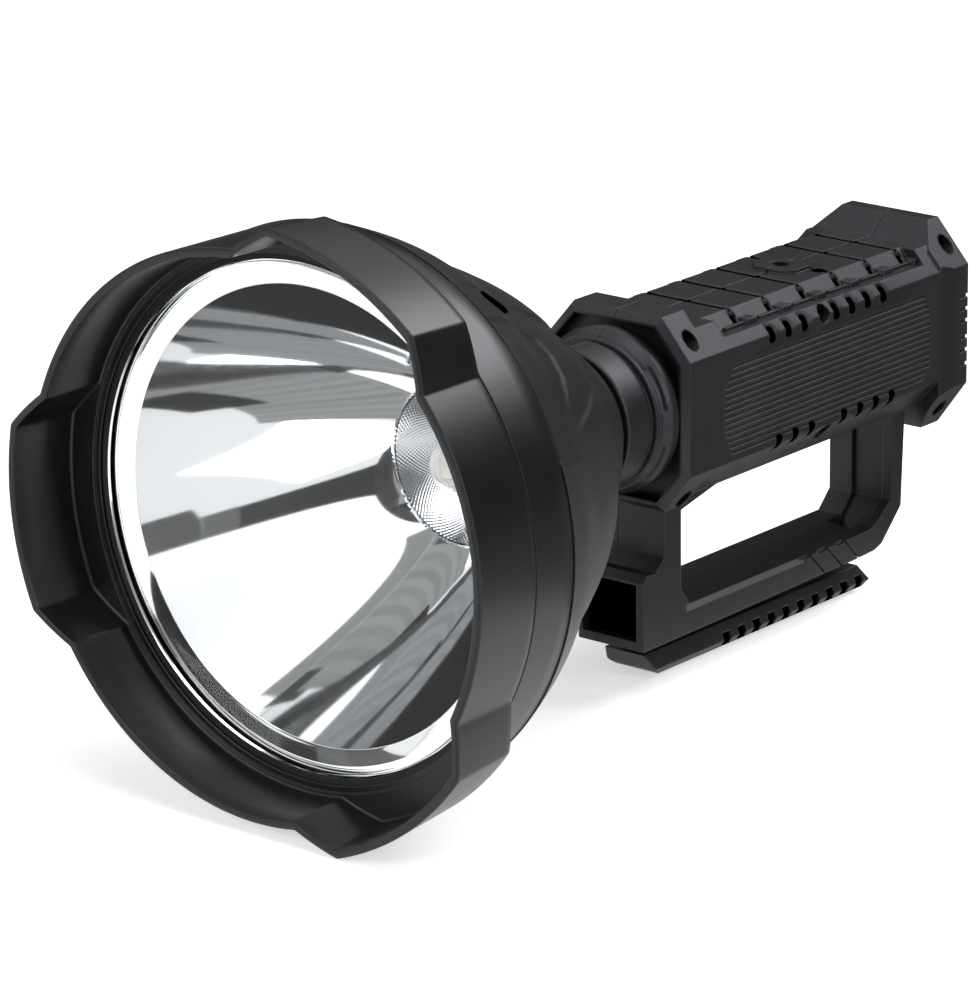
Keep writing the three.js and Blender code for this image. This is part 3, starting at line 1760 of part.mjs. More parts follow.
function makeRearPanel() {
  const plate = prism(
    inset(rearOpeningOutline, seatGap - panelLedge),
    "y",
    panelFront,
    panelRear,
  );
  const ears = [1, -1].map((side) => {
    const near = side * (flapHalfWidth + slideGap);
    const far = side * (flapHalfWidth + slideGap + earWidth);
    return join(
      rod("x", barrelRadius, Math.min(near, far), Math.max(near, far), hingeAlong, hingeHeight),
      block(
        Math.min(near, far),
        Math.max(near, far),
        panelRear - panelThickness / 2,
        hingeAlong,
        hingeHeight - barrelRadius,
        hingeHeight + barrelRadius,
      ),
    );
  });
  const pinReach = flapHalfWidth + slideGap + earWidth + overrun;
  return cut(
    join(plate, ...ears),
    rod("x", pinRadius + seatGap / 2, -pinReach, pinReach, hingeAlong, hingeHeight),
    rod("y", buttonRadius + slideGap, 0, flangeRear, 0, buttonHeight, fewFacets),
    rod("y", indicatorRadius + seatGap, 0, flangeRear, indicatorAcross, buttonHeight),
    block(
      -portHalfWidth - seatGap,
      portHalfWidth + seatGap,
      0,
      flangeRear,
      portHeight - portHalfHeight - seatGap,
      portHeight + portHalfHeight + seatGap,
    ),
    ...[1, -1].map((side) =>
      rod("y", shankHole, 0, flangeRear, side * panelScrewAcross, panelScrewHeight),
    ),
  );
}

function makeButton() {
  const flangeBackFace = panelFront - seatGap;
  const stemTip = switchRear + buttonTravel + seatGap;
  const profile = turned(
    [
      [0, panelRear + buttonProud],
      [buttonRadius - buttonEdge, panelRear + buttonProud],
      [buttonRadius, panelRear + buttonProud - buttonEdge],
      [buttonRadius, flangeBackFace],
      [buttonRadius + buttonFlangeWidth, flangeBackFace],
      [buttonRadius + buttonFlangeWidth, flangeBackFace - buttonFlangeThickness],
      [buttonStemRadius, flangeBackFace - buttonFlangeThickness],
      [buttonStemRadius, stemTip],
      [0, stemTip],
    ],
    fewFacets,
  );
  return placed(profile, 0, 0, buttonHeight);
}

function makeButtonRing() {
  const inner = buttonRadius + slideGap;
  const profile = turned(
    [
      [inner, panelRear + seatGap],
      [inner + buttonRingWidth, panelRear + seatGap],
      [inner + buttonRingWidth, panelRear + seatGap + buttonRingThickness / 2],
      [inner + buttonRingWidth / 2, panelRear + seatGap + buttonRingThickness],
      [inner, panelRear + seatGap + buttonRingThickness],
    ],
    fewFacets,
  );
  return placed(profile, 0, 0, buttonHeight);
}

function makePort() {
  const mouth = panelRear + portProud;
  return cut(
    block(
      -portHalfWidth,
      portHalfWidth,
      boardBack,
      mouth,
      portHeight - portHalfHeight,
      portHeight + portHalfHeight,
    ),
    block(
      portWall - portHalfWidth,
      portHalfWidth - portWall,
      mouth - portMouthDepth,
      mouth + overrun,
      portHeight - portHalfHeight + portWall,
      portHeight + portHalfHeight - portWall,
    ),
  );
}

function makeFlap() {
  const front = panelRear + seatGap;
  const leaf = block(
    -flapHalfWidth,
    flapHalfWidth,
    front,
    front + flapThickness,
    portHeight - portHalfHeight - flapBottomBorder,
    hingeHeight,
  );
  return cut(
    join(
      leaf,
      rod("x", barrelRadius, -flapHalfWidth, flapHalfWidth, hingeAlong, hingeHeight),
    ),
    rod(
      "x",
      pinRadius + seatGap,
      -flapHalfWidth - overrun,
      flapHalfWidth + overrun,
      hingeAlong,
      hingeHeight,
    ),
  );
}

function makeIndicator() {
  const flangeBackFace = panelFront - seatGap;
  const profile = turned(
    [
      [0, panelRear + indicatorProud],
      [indicatorRadius, panelRear + indicatorProud],
      [indicatorRadius, flangeBackFace],
      [indicatorRadius + indicatorFlange, flangeBackFace],
      [indicatorRadius + indicatorFlange, flangeBackFace - indicatorFlangeThickness],
      [0, flangeBackFace - indicatorFlangeThickness],
    ],
    smallFacets,
  );
  return placed(profile, indicatorAcross, 0, buttonHeight);
}

piece(rear, "rear_panel", makeRearPanel(), materials.satin);
piece(rear, "power_button", makeButton(), materials.rubber);
piece(rear, "button_ring", makeButtonRing(), materials.steel);
piece(
  rear,
  "switch_body",
  block(
    -switchSide / 2,
    switchSide / 2,
    boardBack,
    switchRear,
    buttonHeight - switchSide / 2,
    buttonHeight + switchSide / 2,
  ),
  materials.rubber,
);
piece(rear, "charge_port", makePort(), materials.aluminium);
piece(rear, "port_flap", makeFlap(), materials.rubber);
const pinReach = flapHalfWidth + slideGap + earWidth;
piece(
  rear,
  "flap_pin",
  rod("x", pinRadius, -pinReach, pinReach, hingeAlong, hingeHeight),
  materials.steel,
);
piece(rear, "indicator_lens", makeIndicator(), materials.lamp);
[1, -1].forEach((side, k) => {
  const made = placed(
    makeScrew(panelScrewLength),
    side * panelScrewAcross,
    panelRear,
    panelScrewHeight,
  );
  piece(rear, `panel_screw_${k + 1}`, made, materials.steel);
});

export default lamp;
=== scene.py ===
"""A hand-held LED searchlight, in metres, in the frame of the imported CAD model."""

import math

import bmesh
import bpy
from mathutils import Matrix, Vector


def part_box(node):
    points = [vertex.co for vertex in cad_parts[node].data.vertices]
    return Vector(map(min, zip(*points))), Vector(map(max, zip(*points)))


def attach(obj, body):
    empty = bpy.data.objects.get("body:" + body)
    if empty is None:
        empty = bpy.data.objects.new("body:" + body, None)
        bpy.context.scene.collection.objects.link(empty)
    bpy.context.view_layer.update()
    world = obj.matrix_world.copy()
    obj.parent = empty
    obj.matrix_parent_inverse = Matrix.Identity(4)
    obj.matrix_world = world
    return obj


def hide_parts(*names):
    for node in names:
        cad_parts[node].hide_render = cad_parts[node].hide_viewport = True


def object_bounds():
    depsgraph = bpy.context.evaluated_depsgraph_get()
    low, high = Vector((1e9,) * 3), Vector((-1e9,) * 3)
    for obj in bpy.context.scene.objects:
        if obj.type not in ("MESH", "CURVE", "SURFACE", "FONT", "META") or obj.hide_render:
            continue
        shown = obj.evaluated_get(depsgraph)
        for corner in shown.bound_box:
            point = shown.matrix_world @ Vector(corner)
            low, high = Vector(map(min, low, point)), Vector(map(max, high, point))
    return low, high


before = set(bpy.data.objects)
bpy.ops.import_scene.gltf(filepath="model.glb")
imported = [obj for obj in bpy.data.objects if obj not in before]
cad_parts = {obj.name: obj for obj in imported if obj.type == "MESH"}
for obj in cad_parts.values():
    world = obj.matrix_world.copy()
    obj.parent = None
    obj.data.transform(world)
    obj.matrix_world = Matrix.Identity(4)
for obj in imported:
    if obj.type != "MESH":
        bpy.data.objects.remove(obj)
cad_low, cad_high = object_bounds()

scene = bpy.context.scene
scene.view_settings.view_transform = "Standard"


# Materials


class Nodes:
    """A material's node tree, with short calls for the nodes that this scene uses."""

    def __init__(self, name, owner=None):
        self.material = owner or bpy.data.materials.new(name)
        self.material.use_nodes = True
        self.tree = self.material.node_tree
        self.shader = self.tree.nodes.get("Principled BSDF")
        self.place = self.add("ShaderNodeTexCoord").outputs["Object"]

    def add(self, kind, links=None, **settings):
        """A node with its settings, and its inputs linked to sockets or given values."""
        node = self.tree.nodes.new(kind)
        for key, value in settings.items():
            setattr(node, key, value)
        for socket, source in (links or {}).items():
            if isinstance(source, bpy.types.NodeSocket):
                self.tree.links.new(source, node.inputs[socket])
            else:
                node.inputs[socket].default_value = source
        return node

    def set(self, socket, value):
        """Links an input of the shader to a socket or gives it a value."""
        if isinstance(value, bpy.types.NodeSocket):
            self.tree.links.new(value, self.shader.inputs[socket])
        else:
            self.shader.inputs[socket].default_value = value

    def noise(self, size, detail=3, roughness=0.6):
        """Noise whose lumps are about size metres wide, from 0 to 1."""
        links = {"Vector": self.place, "Scale": 1 / size, "Detail": detail, "Roughness": roughness}
        return self.add("ShaderNodeTexNoise", links).outputs[0]

    def spread(self, value, low, high, start=0.3, end=0.7):
        """The value, moved from the range start to end into the range low to high."""
        links = {0: value, 1: start, 2: end, 3: low, 4: high}
        return self.add("ShaderNodeMapRange", links).outputs[0]

    def blend(self, factor, first, second):
        """A colour between two colours or sockets."""
        mix = self.add("ShaderNodeMix", {0: factor}, data_type="RGBA")
        for socket, value in ((mix.inputs[6], first), (mix.inputs[7], second)):
            if isinstance(value, bpy.types.NodeSocket):
                self.tree.links.new(value, socket)
            else:
                socket.default_value = (*value, 1)
        return mix.outputs[2]

    def bump(self, height, distance, normal=None):
        """A normal with relief of up to distance metres."""
        links = {"Height": height, "Distance": distance, "Strength": 1.0}
        if normal:
            links["Normal"] = normal
        return self.add("ShaderNodeBump", links).outputs[0]


# The paler colour of edges: partly rubbed wear, partly a painted highlight
RUB_AND_HIGHLIGHT = (0.048, 0.051, 0.057)
COOL_SHEEN = (0.9, 0.94, 1.0, 1)
MOTTLE = 0.02  # size of the patches in moulded plastic


def grey(level):
    """A neutral colour."""
    return (level, level, level)


def moulded(name, dark, light, rough, grain, depth, edge=0.0004, wear_and_highlight=RUB_AND_HIGHLIGHT, gloss=0.4):
    """Moulded plastic: mottled colour, a fine grain, and edges painted paler, partly as rubbed wear
    and partly as a painted highlight.

    grain and depth are the size and height of the grain, edge the radius of a rounded edge.
    """
    n = Nodes(name)
    mottle = n.noise(MOTTLE)
    fine = n.noise(grain, 5, 0.7)
    rounded = n.add("ShaderNodeBevel", {"Radius": edge}, samples=4).outputs[0]
    flat = n.add("ShaderNodeNewGeometry").outputs["Normal"]
    turn = n.add("ShaderNodeVectorMath", {0: rounded, 1: flat}, operation="DOT_PRODUCT")
    # how much of an edge is painted paler, as rubbing and as a painted highlight
    rub_and_highlight = n.spread(turn.outputs["Value"], 1, 0, 0.8, 0.99)
    patchy = n.add("ShaderNodeMath", {0: rub_and_highlight, 1: n.spread(mottle, 0.2, 1)}, operation="MULTIPLY")
    base = n.blend(n.spread(mottle, 0, 1), dark, light)
    n.set("Base Color", n.blend(patchy.outputs[0], base, wear_and_highlight))
    n.set("Roughness", n.spread(n.noise(MOTTLE), rough - 0.02, rough + 0.02))
    n.set("Normal", n.bump(fine, depth, normal=rounded))
    n.set("Specular IOR Level", gloss)
    n.set("Specular Tint", COOL_SHEEN)
    return n.material


def metal(name, colour, rough, grain=0.0006, depth=0.00001, dulled=0.85):
    """Metal whose colour falls to the dulled share of itself in patches."""
    n = Nodes(name)
    mottle = n.noise(0.008)
    n.set("Base Color", n.blend(n.spread(mottle, 0, 1), colour, [dulled * c for c in colour]))
    n.set("Metallic", 1.0)
    n.set("Roughness", n.spread(n.noise(0.003), rough * 0.8, rough * 1.25))
    n.set("Normal", n.bump(n.noise(grain, 4), depth))
    return n.material


def clear(name, tint, ior, rough=0.01):
    """Clear plastic or glass."""
    n = Nodes(name)
    n.set("Base Color", n.blend(n.spread(n.noise(0.05), 0, 1), tint, [0.98 * c for c in tint]))
    n.set("Roughness", n.spread(n.noise(0.01), rough, rough * 2))
    n.set("Transmission Weight", 1.0)
    n.set("IOR", ior)
    return n.material


grained_black = moulded(
    "grained black plastic",
    dark=(0.0056, 0.006, 0.007),
    light=(0.0075, 0.008, 0.0093),
    rough=0.42,
    grain=0.0006,
    depth=0.00006,
    edge=0.0008,
)
satin_black = moulded(
    "satin black plastic",
    dark=grey(0.004),
    light=grey(0.0045),
    rough=0.34,
    grain=0.0005,
    depth=0.000003,
    edge=0.0005,
)
# Near-black and matte: painted shade, for pieces laid where hollows fall into shade
painted_shade = moulded(
    "painted shade in hollows",
    dark=grey(0.0004),
    light=grey(0.0006),
    rough=0.9,
    grain=0.001,
    depth=0.00001,
    edge=0.0002,
    wear_and_highlight=grey(0.001),
    gloss=0,
)
black_rubber = moulded("black rubber", grey(0.008), grey(0.011), 0.7, 0.0009, 0.00003)
inner_plastic = moulded("dark inner plastic", grey(0.012), grey(0.016), 0.5, 0.001, 0.00003)
circuit_board = moulded(
    "circuit board", (0.01, 0.07, 0.03), (0.015, 0.1, 0.04), 0.4, 0.001, 0.00003
)
phosphor = moulded("phosphor", (0.95, 0.93, 0.84), (0.96, 0.95, 0.88), 0.5, 0.0004, 0.00003)
cell_sleeve = moulded("cell sleeve", (0.02, 0.1, 0.3), (0.03, 0.13, 0.36), 0.35, 0.002, 0.00001)
indicator = moulded("indicator", (0.25, 0.6, 0.3), (0.3, 0.68, 0.36), 0.2, 0.001, 0.00001)
chrome = metal("vacuum-coated chrome", (0.93, 0.94, 0.95), 0.045, 0.05, 0.000001, 0.995)
dull_chrome = metal("dimpled chrome", (0.5, 0.51, 0.53), 0.06, 0.05, 0.000001, 0.97)
copper_post = metal("plated copper post", (0.85, 0.84, 0.82), 0.35)
aluminium = metal("aluminium", (0.6, 0.61, 0.63), 0.38)
dark_screw = metal("dark screw", (0.012, 0.012, 0.013), 0.4)
brass_bush = metal("blackened brass bush", (0.05, 0.05, 0.05), 0.4)
clear_lens = clear("clear lens", (0.98, 0.99, 0.99), 1.22)  # coated, so it mirrors little

finishes = {
    "grained_black": grained_black,
    "satin_black": satin_black,
    "black_rubber": black_rubber,
    "clear_lens": clear_lens,
    "reflector_chrome": chrome,
    "copper_post": copper_post,
    "phosphor": phosphor,
    "circuit_board": circuit_board,
    "aluminium": aluminium,
    "dark_screw": dark_screw,
    "brass_bush": brass_bush,
    "cell_sleeve": cell_sleeve,
    "inner_plastic": inner_plastic,
    "indicator": indicator,
}
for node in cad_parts.values():
    slots = node.data.materials
    slots[0] = finishes[slots[0].name]  # model.glb names each node's material after its slot


# Sizes of the head, in millimetres: along is measured back from the rim's front plane,
# radius from the beam axis, and angles in degrees from +X towards +Z.

MM = 0.001
HEAD_TURN = 6.5
LOBES = (60, 180, 300)
LOBE_CROWN, LOBE_FOOT = 17.5, 26.5
LOBE_HEIGHT, LOBE_LOSS, LOBE_LENGTH = 9.5, 1.7, 27
LOBE_FILLET = 0.014  # share of the flank
RIM_RADIUS, SKIRT_LOSS, BEZEL_LENGTH = 90.5, 0.8, 45
WALL = 3
MOUTH_DEPTH = 24
WINDOW, WINDOW_STEP = 83.5, 85.6
FLOOR_BACK = 25.7
BORE = 87
LENS_FRONT, LENS_REAR, LENS_RADIUS, LENS_RIM = 25, 28.6, 80.8, 85.6
GASKET_FRONT, GASKET_REAR = 26, 27.3
FLANGE_FACE, FLANGE_BACK, FLANGE_RADIUS = 28.9, 31.2, 86.7
BEVEL_RADIUS, BOWL_RADIUS, THROAT_RADIUS = 78, 73, 26.5
APEX, FOCUS_4 = 111.542, 66  # the bowl is radius² = FOCUS_4 · (APEX − along)
SHEEN_4 = 53  # and it shines like this slightly deeper bowl, as the photographed one does
BOWL_WALL = 1.8
THROAT_LIP, THROAT_REAR = 27.2, 102.8
INSERT_FRONT, INSERT_REAR, INSERT_BORE = 103.1, 111.6, 10.6
DIMPLE, DIMPLE_COUNT, DIMPLE_HEIGHT = 1.1, 110, 0.09
SHELL_FRONT, SHELL_END, SHELL_RADIUS, NECK_RADIUS = 45.3, 150, 89.9, 25
SHELL_WALL = 2.6
SHELL_SHARES = (
    (0, 1),
    (0.143, 0.903),
    (0.286, 0.761),
    (0.429, 0.655),
    (0.571, 0.528),
    (0.714, 0.345),
    (0.857, 0.194),
    (1, 0.023),
)
PANEL_ANGLES = (30, 150, 270)
DEEP_PANEL, SHALLOW_PANEL = 1.5, 0.9
PANEL_EDGE = 0.8  # how far the edge of a sunken panel is rounded to each side
DEEP_SHARES = (
    (-0.253, 0.01),
    (0.256, 0.01),
    (0.245, 0.12),
    (0.17, 0.19),
    (0.095, 0.3),
    (-0.02, 0.368),
    (-0.107, 0.376),
    (-0.171, 0.345),
    (-0.223, 0.222),
    (-0.253, 0.09),
)
SHALLOW_SHARES = (
    (-0.42, -0.05),
    (0.3, -0.05),
    (0.28, 0.14),
    (0.2, 0.25),
    (0.12, 0.43),
    (0.006, 0.64),
    (-0.1, 0.725),
    (-0.178, 0.76),
    (-0.3, 0.4),
    (-0.38, 0.2),
)
SCREW_ANGLES, SCREW_CIRCLE, SCREW_SEAT = (52, 172, 292), 78, 60
WELL_RADIUS, WELL_GAP, WELL_WALL, WELL_SIDES = 4.3, 0.05, 0.2, 48
WELL_FLOOR, WELL_RIM = 60.6, 0.25  # the foot of the painted shade in each well, and how far it ends under the surface

WELD = 1e-6  # in metres
SHARP = 32  # degrees at which an edge stays sharp

rim_low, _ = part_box("bezel")
lens_low, lens_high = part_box("lens")
beam = Vector(((lens_low.x + lens_high.x) / 2, rim_low.y, (lens_low.z + lens_high.z) / 2))


def new_piece(name, points, faces, slot, stands_for=(), **more):
    """A solid of points and faces that takes its finish from a slot and stands for CAD nodes."""
    mesh = bpy.data.meshes.new(name)
    mesh.from_pydata(points, [], faces)
    work = bmesh.new()
    work.from_mesh(mesh)
    bmesh.ops.remove_doubles(work, verts=work.verts, dist=WELD)
    bmesh.ops.recalc_face_normals(work, faces=work.faces)
    work.to_mesh(mesh)
    work.free()
    return new_object(name, mesh, slot, stands_for, **more)


def new_object(name, mesh, slot, stands_for=(), body="lamp", sharp=SHARP, finish=None):
    """An object of a mesh, smooth but for edges over sharp degrees, that rides on a body."""
    mesh.shade_smooth()
    mesh.set_sharp_from_angle(angle=math.radians(sharp))
    mesh.materials.clear()
    mesh.materials.append(finish or finishes[slot])
    piece = bpy.data.objects.new(name, mesh)
    scene.collection.objects.link(piece)
    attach(piece, body)
    if stands_for:
        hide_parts(*stands_for)
    return piece


def on_beam(along, radius, angle):
    """The place in the frame of a point given by its distance along and off the beam."""
    turn = math.radians(angle)
    return beam + MM * Vector((radius * math.cos(turn), along, radius * math.sin(turn)))


def lathe(name, outline, slot, stands_for=(), angles=None, closed=True, bend=None, **more):
    """Turns a closed outline of (along, radius) about the beam. bend may move a ring's point."""
    angles = angles or [1.5 * k for k in range(240)]
    bend = bend or (lambda point, angle: point)
    points = [on_beam(*bend(point, angle)[:2], angle) for angle in angles for point in outline]
    size, rings = len(outline), len(angles)
    faces = []
    for ring in range(rings if closed else rings - 1):
        after = (ring + 1) % rings
        for k in range(size):
            j = (k + 1) % size
            faces.append((ring * size + k, ring * size + j, after * size + j, after * size + k))
    if not closed:
        faces.append(tuple(range(size)))
        faces.append(tuple(range((rings - 1) * size, rings * size)))
    return new_piece(name, points, faces, slot, stands_for, **more)


def between(first, last, count):
    """The ends of count equal steps from first to last."""
    return [first + (last - first) * k / count for k in range(count + 1)]


def rounded_step(place, softness):
    """0 before 0, 1 after 1 and straight between, with both corners rounded."""

    def ramp(x):
        return x if x > 30 * softness else softness * math.log1p(math.exp(x / softness))

    return ramp(place) - ramp(place - 1)


# Bezel: points are (along, distance under the outside, share of a lobe's rise), but for those
# of the bore and the ledge round the lens, which are (along, radius)

BEZEL_INSIDE = [(MOUTH_DEPTH, WALL + 0.5, 1), (MOUTH_DEPTH - 0.5, WALL, 1)]
BEZEL_INSIDE += [(along, WALL, 1) for along in (18, 12, 6, 0.5)]
BEZEL_RIM = [(0.15, 2.8, 1), (0, 2.4, 1), (0, 1.0, 1), (0.5, 0.9, 1), (0.55, 0.3, 1), (0.8, 0, 1)]
BEZEL_OUTSIDE = [(along, 0, 1) for along in (6, 12, 18, 24)]
BEZEL_STEP = [(26.2, 0, 1), (26.75, 0.2, 1), (27, 0.7, 0.96)]
BEZEL_STEP += [(27.05, 0, 0.1), (27.3, 0, 0.02), (27.8, 0, 0)]
BEZEL_SKIRT = [(33, 0, 0), (39, 0, 0), (44.4, 0, 0), (44.8, 0.2, 0), (45, 0.6, 0)]
BEZEL_LEDGE = [(45, BORE), (FLOOR_BACK, BORE), (FLOOR_BACK, WINDOW), (24.95, WINDOW)]
BEZEL_LEDGE += [(24.8, WINDOW + 0.15), (24.8, WINDOW_STEP), (24.2, WINDOW_STEP)]
BEZEL_LEDGE += [(24, WINDOW_STEP + 0.2)]
RING_STEP, RING_REACH, RING_GAP = 0.3, 5, 1.7  # the close rings at a corner, in degrees


def angle_from(angle, middle):
    """Degrees from 0 to 180 between two directions."""
    return abs((angle - middle + 180) % 360 - 180)


def lobe_share(angle):
    """How much of a lobe's rise there is at an angle: 1 on a crown, 0 between the lobes."""
    away = min(angle_from(angle, middle + HEAD_TURN) for middle in LOBES)
    return rounded_step((LOBE_FOOT - away) / (LOBE_FOOT - LOBE_CROWN), LOBE_FILLET)


def bezel_angles():
    """Angles of the bezel's rings, close together where a lobe's flank starts or ends."""
    ends = (-LOBE_CROWN, -LOBE_FOOT, LOBE_CROWN, LOBE_FOOT)
    corners = [m + HEAD_TURN + end for m in LOBES for end in ends]
    near = range(-RING_REACH, RING_REACH + 1)
    fine = [corner + RING_STEP * k for corner in corners for k in near]
    even = between(0, 358.5, 239)
    coarse = [a for a in even if min(angle_from(a, corner) for corner in corners) > RING_GAP]
    return sorted({round(a % 360, 3) for a in fine + coarse})


def make_bezel():
    """The rim with its lobes, the ledge round the lens and the skirt over the shell."""

    def section_point(along, inset, share):
        skirt = RIM_RADIUS - SKIRT_LOSS * along / BEZEL_LENGTH
        rise = LOBE_HEIGHT - LOBE_LOSS * min(along, LOBE_LENGTH) / LOBE_LENGTH
        return along, skirt - inset, share * rise

    def raise_lobes(point, angle):
        along, radius, rise = point
        return along, radius + rise * lobe_share(angle)

    outline = [
        section_point(*point)
        for point in BEZEL_INSIDE + BEZEL_RIM + BEZEL_OUTSIDE + BEZEL_STEP + BEZEL_SKIRT
    ]
    outline += [(along, radius, 0) for along, radius in BEZEL_LEDGE]
    lathe("round_bezel", outline, "satin_black", ["bezel"], bezel_angles(), bend=raise_lobes)


# Lens, gasket, reflector and light source: sections are (along, radius)

LENS_SECTION = [(LENS_FRONT, 0), (LENS_FRONT, 79.9), (LENS_FRONT + 0.3, 80.6)]
LENS_SECTION += [(LENS_FRONT + 0.8, LENS_RADIUS), (27.4, LENS_RADIUS + 0.1), (27.6, 81.2)]
LENS_SECTION += [(27.6, 85.2), (27.9, LENS_RIM), (LENS_REAR, LENS_RIM), (LENS_REAR, 0)]
GASKET_SECTION = [(GASKET_FRONT, 81.5), (GASKET_FRONT, 85.3), (GASKET_FRONT + 0.3, LENS_RIM)]
GASKET_SECTION += [(GASKET_REAR, LENS_RIM), (GASKET_REAR, 81.5)]
BEVEL_SECTION = [(FLANGE_FACE, FLANGE_RADIUS), (FLANGE_FACE, BEVEL_RADIUS + 0.5)]
BEVEL_SECTION += [(FLANGE_FACE + 0.1, BEVEL_RADIUS), (30.5, 73.9), (30.7, 73.3)]
DOME_BASE, DOME_HEIGHT, DOME_RADIUS = 98.2, 6.2, 8.3
DOME_FOOT = [(98.2, 5.4), (97.1, 5.4), (97.1, 0)]
POST_SECTION = [(98.5, 0), (98.5, 8.5), (98.9, 8.9), (110.2, 8.9), (110.2, 9.3), (110.5, 9.6)]
POST_SECTION += [(111.6, 9.6), (111.6, 0)]
ON_EDGE, ON_BOWL = 0.01, 0.05  # how near a point of the bowl's inside lies to its formula


def bowl(radius):
    """How far along the beam the bowl's inside lies at a radius."""
    return APEX - radius**2 / FOCUS_4


def shine_deeper(mesh):
    """Turns the shading normals of the bowl's inside to those of the deeper bowl."""
    turned = [Vector()] * len(mesh.vertices)
    for vertex in mesh.vertices:
        place = (vertex.co - beam) / MM
        radius = math.hypot(place.x, place.z)
        on_bowl = abs(place.y - bowl(radius)) < ON_BOWL
        if on_bowl and THROAT_RADIUS < radius < BOWL_RADIUS + ON_EDGE:
            slope = 2 / SHEEN_4
            turned[vertex.index] = -Vector((slope * place.x, 1, slope * place.z)).normalized()
    mesh.normals_split_custom_set_from_vertices(turned)


def make_mirror():
    """The bowl with its bevelled flange."""
    radii = between(BOWL_RADIUS, THROAT_RADIUS, 70)
    inner = [(bowl(r), r) for r in radii]
    outer = []
    for radius in reversed(radii):
        slope = 2 * radius / FOCUS_4
        size = math.hypot(slope, 1)
        outer.append((bowl(radius) + BOWL_WALL / size, radius + BOWL_WALL * slope / size))
    outer = [point for point in outer if point[0] < THROAT_REAR - 0.5]
    outline = BEVEL_SECTION + inner + [(THROAT_REAR, THROAT_LIP)]
    outline += outer + [(FLANGE_BACK, FLANGE_RADIUS)]
    turns = between(0, 358.5, 239)
    mirror = lathe("mirror_bowl", outline, "reflector_chrome", ["reflector"], turns)
    shine_deeper(mirror.data)


def make_throat():
    """The dimpled insert at the bottom of the bowl."""
    steps = between(THROAT_RADIUS - 0.4, INSERT_BORE, 60)
    insert = [(bowl(r), r) for r in steps] + [(INSERT_REAR, INSERT_BORE)]
    insert += [(INSERT_REAR, THROAT_LIP), (INSERT_FRONT, THROAT_LIP)]

    def dimple(point, angle):
        along, radius = point
        if along == INSERT_REAR or radius == THROAT_LIP:
            return point
        across = math.radians(angle) * DIMPLE_COUNT
        down = math.tau * radius / DIMPLE
        lump = math.sin(down) * math.cos(across)
        return along - DIMPLE_HEIGHT * lump, radius

    lathe(
        "dimpled_throat",
        insert,
        "reflector_chrome",
        ["reflector_throat"],
        between(0, 359.5, 719),
        bend=dimple,
        finish=dull_chrome,
    )


def make_optics():
    """Lens, gasket, mirror and throat, and the light source on its post."""
    lathe("round_lens", LENS_SECTION, "clear_lens", ["lens"], sharp=12)
    lathe("round_gasket", GASKET_SECTION, "black_rubber", ["lens_gasket"])
    make_mirror()
    make_throat()
    dome = [
        (DOME_BASE - DOME_HEIGHT * math.cos(t), DOME_RADIUS * math.sin(t))
        for t in between(0, math.pi / 2, 16)
    ]
    dome += DOME_FOOT
    lathe("round_led_dome", dome, "clear_lens", ["led_dome"], between(0, 352.5, 47))
    lathe("round_led_post", POST_SECTION, "copper_post", ["led_pedestal"], between(0, 354, 59))


# Head shell: sections are (along, radius)

SHELL_COLLAR = [(31.6, 84.4), (31.5, 84.6), (31.5, 86.4), (31.8, 86.7)]
SHELL_COLLAR += [(SHELL_FRONT, 86.7), (SHELL_FRONT, SHELL_RADIUS - 0.3)]
SHELL_STUB = [(151.5, 25), (152.5, 24.6), (152.5, 21.5), (166, 21.5), (166, 18.5), (150, 18.5)]
# The inside follows the outside between two radii, moved forward and in
INSIDE_FROM, INSIDE_TO, INSIDE_SHIFT, INSIDE_SINK = 22, 84.0, 1.2, SHELL_WALL * 1.05
DRILL_REACH = 20  # how far a screw's well is drilled on from its middle


def smooth_curve(points, steps):
    """Points on a Catmull-Rom curve through the given ones."""
    ends = [points[0], *points, points[-1]]

    def part_way(a, b, c, d, t):
        square, cube = 2 * a - 5 * b + 4 * c - d, 3 * b - a - 3 * c + d
        return 0.5 * (2 * b + (c - a) * t + square * t**2 + cube * t**3)

    made = []
    for around in zip(ends, ends[1:], ends[2:], ends[3:]):
        for k in range(steps):
            made.append(tuple(part_way(*values, k / steps) for values in zip(*around)))
    return made + [points[-1]]


def inside_by(outline, x, y):
    """How far a point is inside an outline; below zero it is outside."""
    nearest, inside = 1e9, False
    for (x0, y0), (x1, y1) in zip(outline, outline[1:] + outline[:1]):
        if (y0 > y) != (y1 > y) and x < x0 + (x1 - x0) * (y - y0) / (y1 - y0):
            inside = not inside
        wide, high = x1 - x0, y1 - y0
        share = ((x - x0) * wide + (y - y0) * high) / (wide**2 + high**2)
        share = max(0, min(1, share))
        nearest = min(nearest, math.hypot(x - x0 - share * wide, y - y0 - share * high))
    return nearest if inside else -nearest


def shell_profile():
    """The shell's outside as points (along, radius)."""
    length = SHELL_END - SHELL_FRONT
    points = [
        (SHELL_FRONT + length * back, NECK_RADIUS + (SHELL_RADIUS - NECK_RADIUS) * wide)
        for back, wide in SHELL_SHARES
    ]
    return smooth_curve(points, 12)


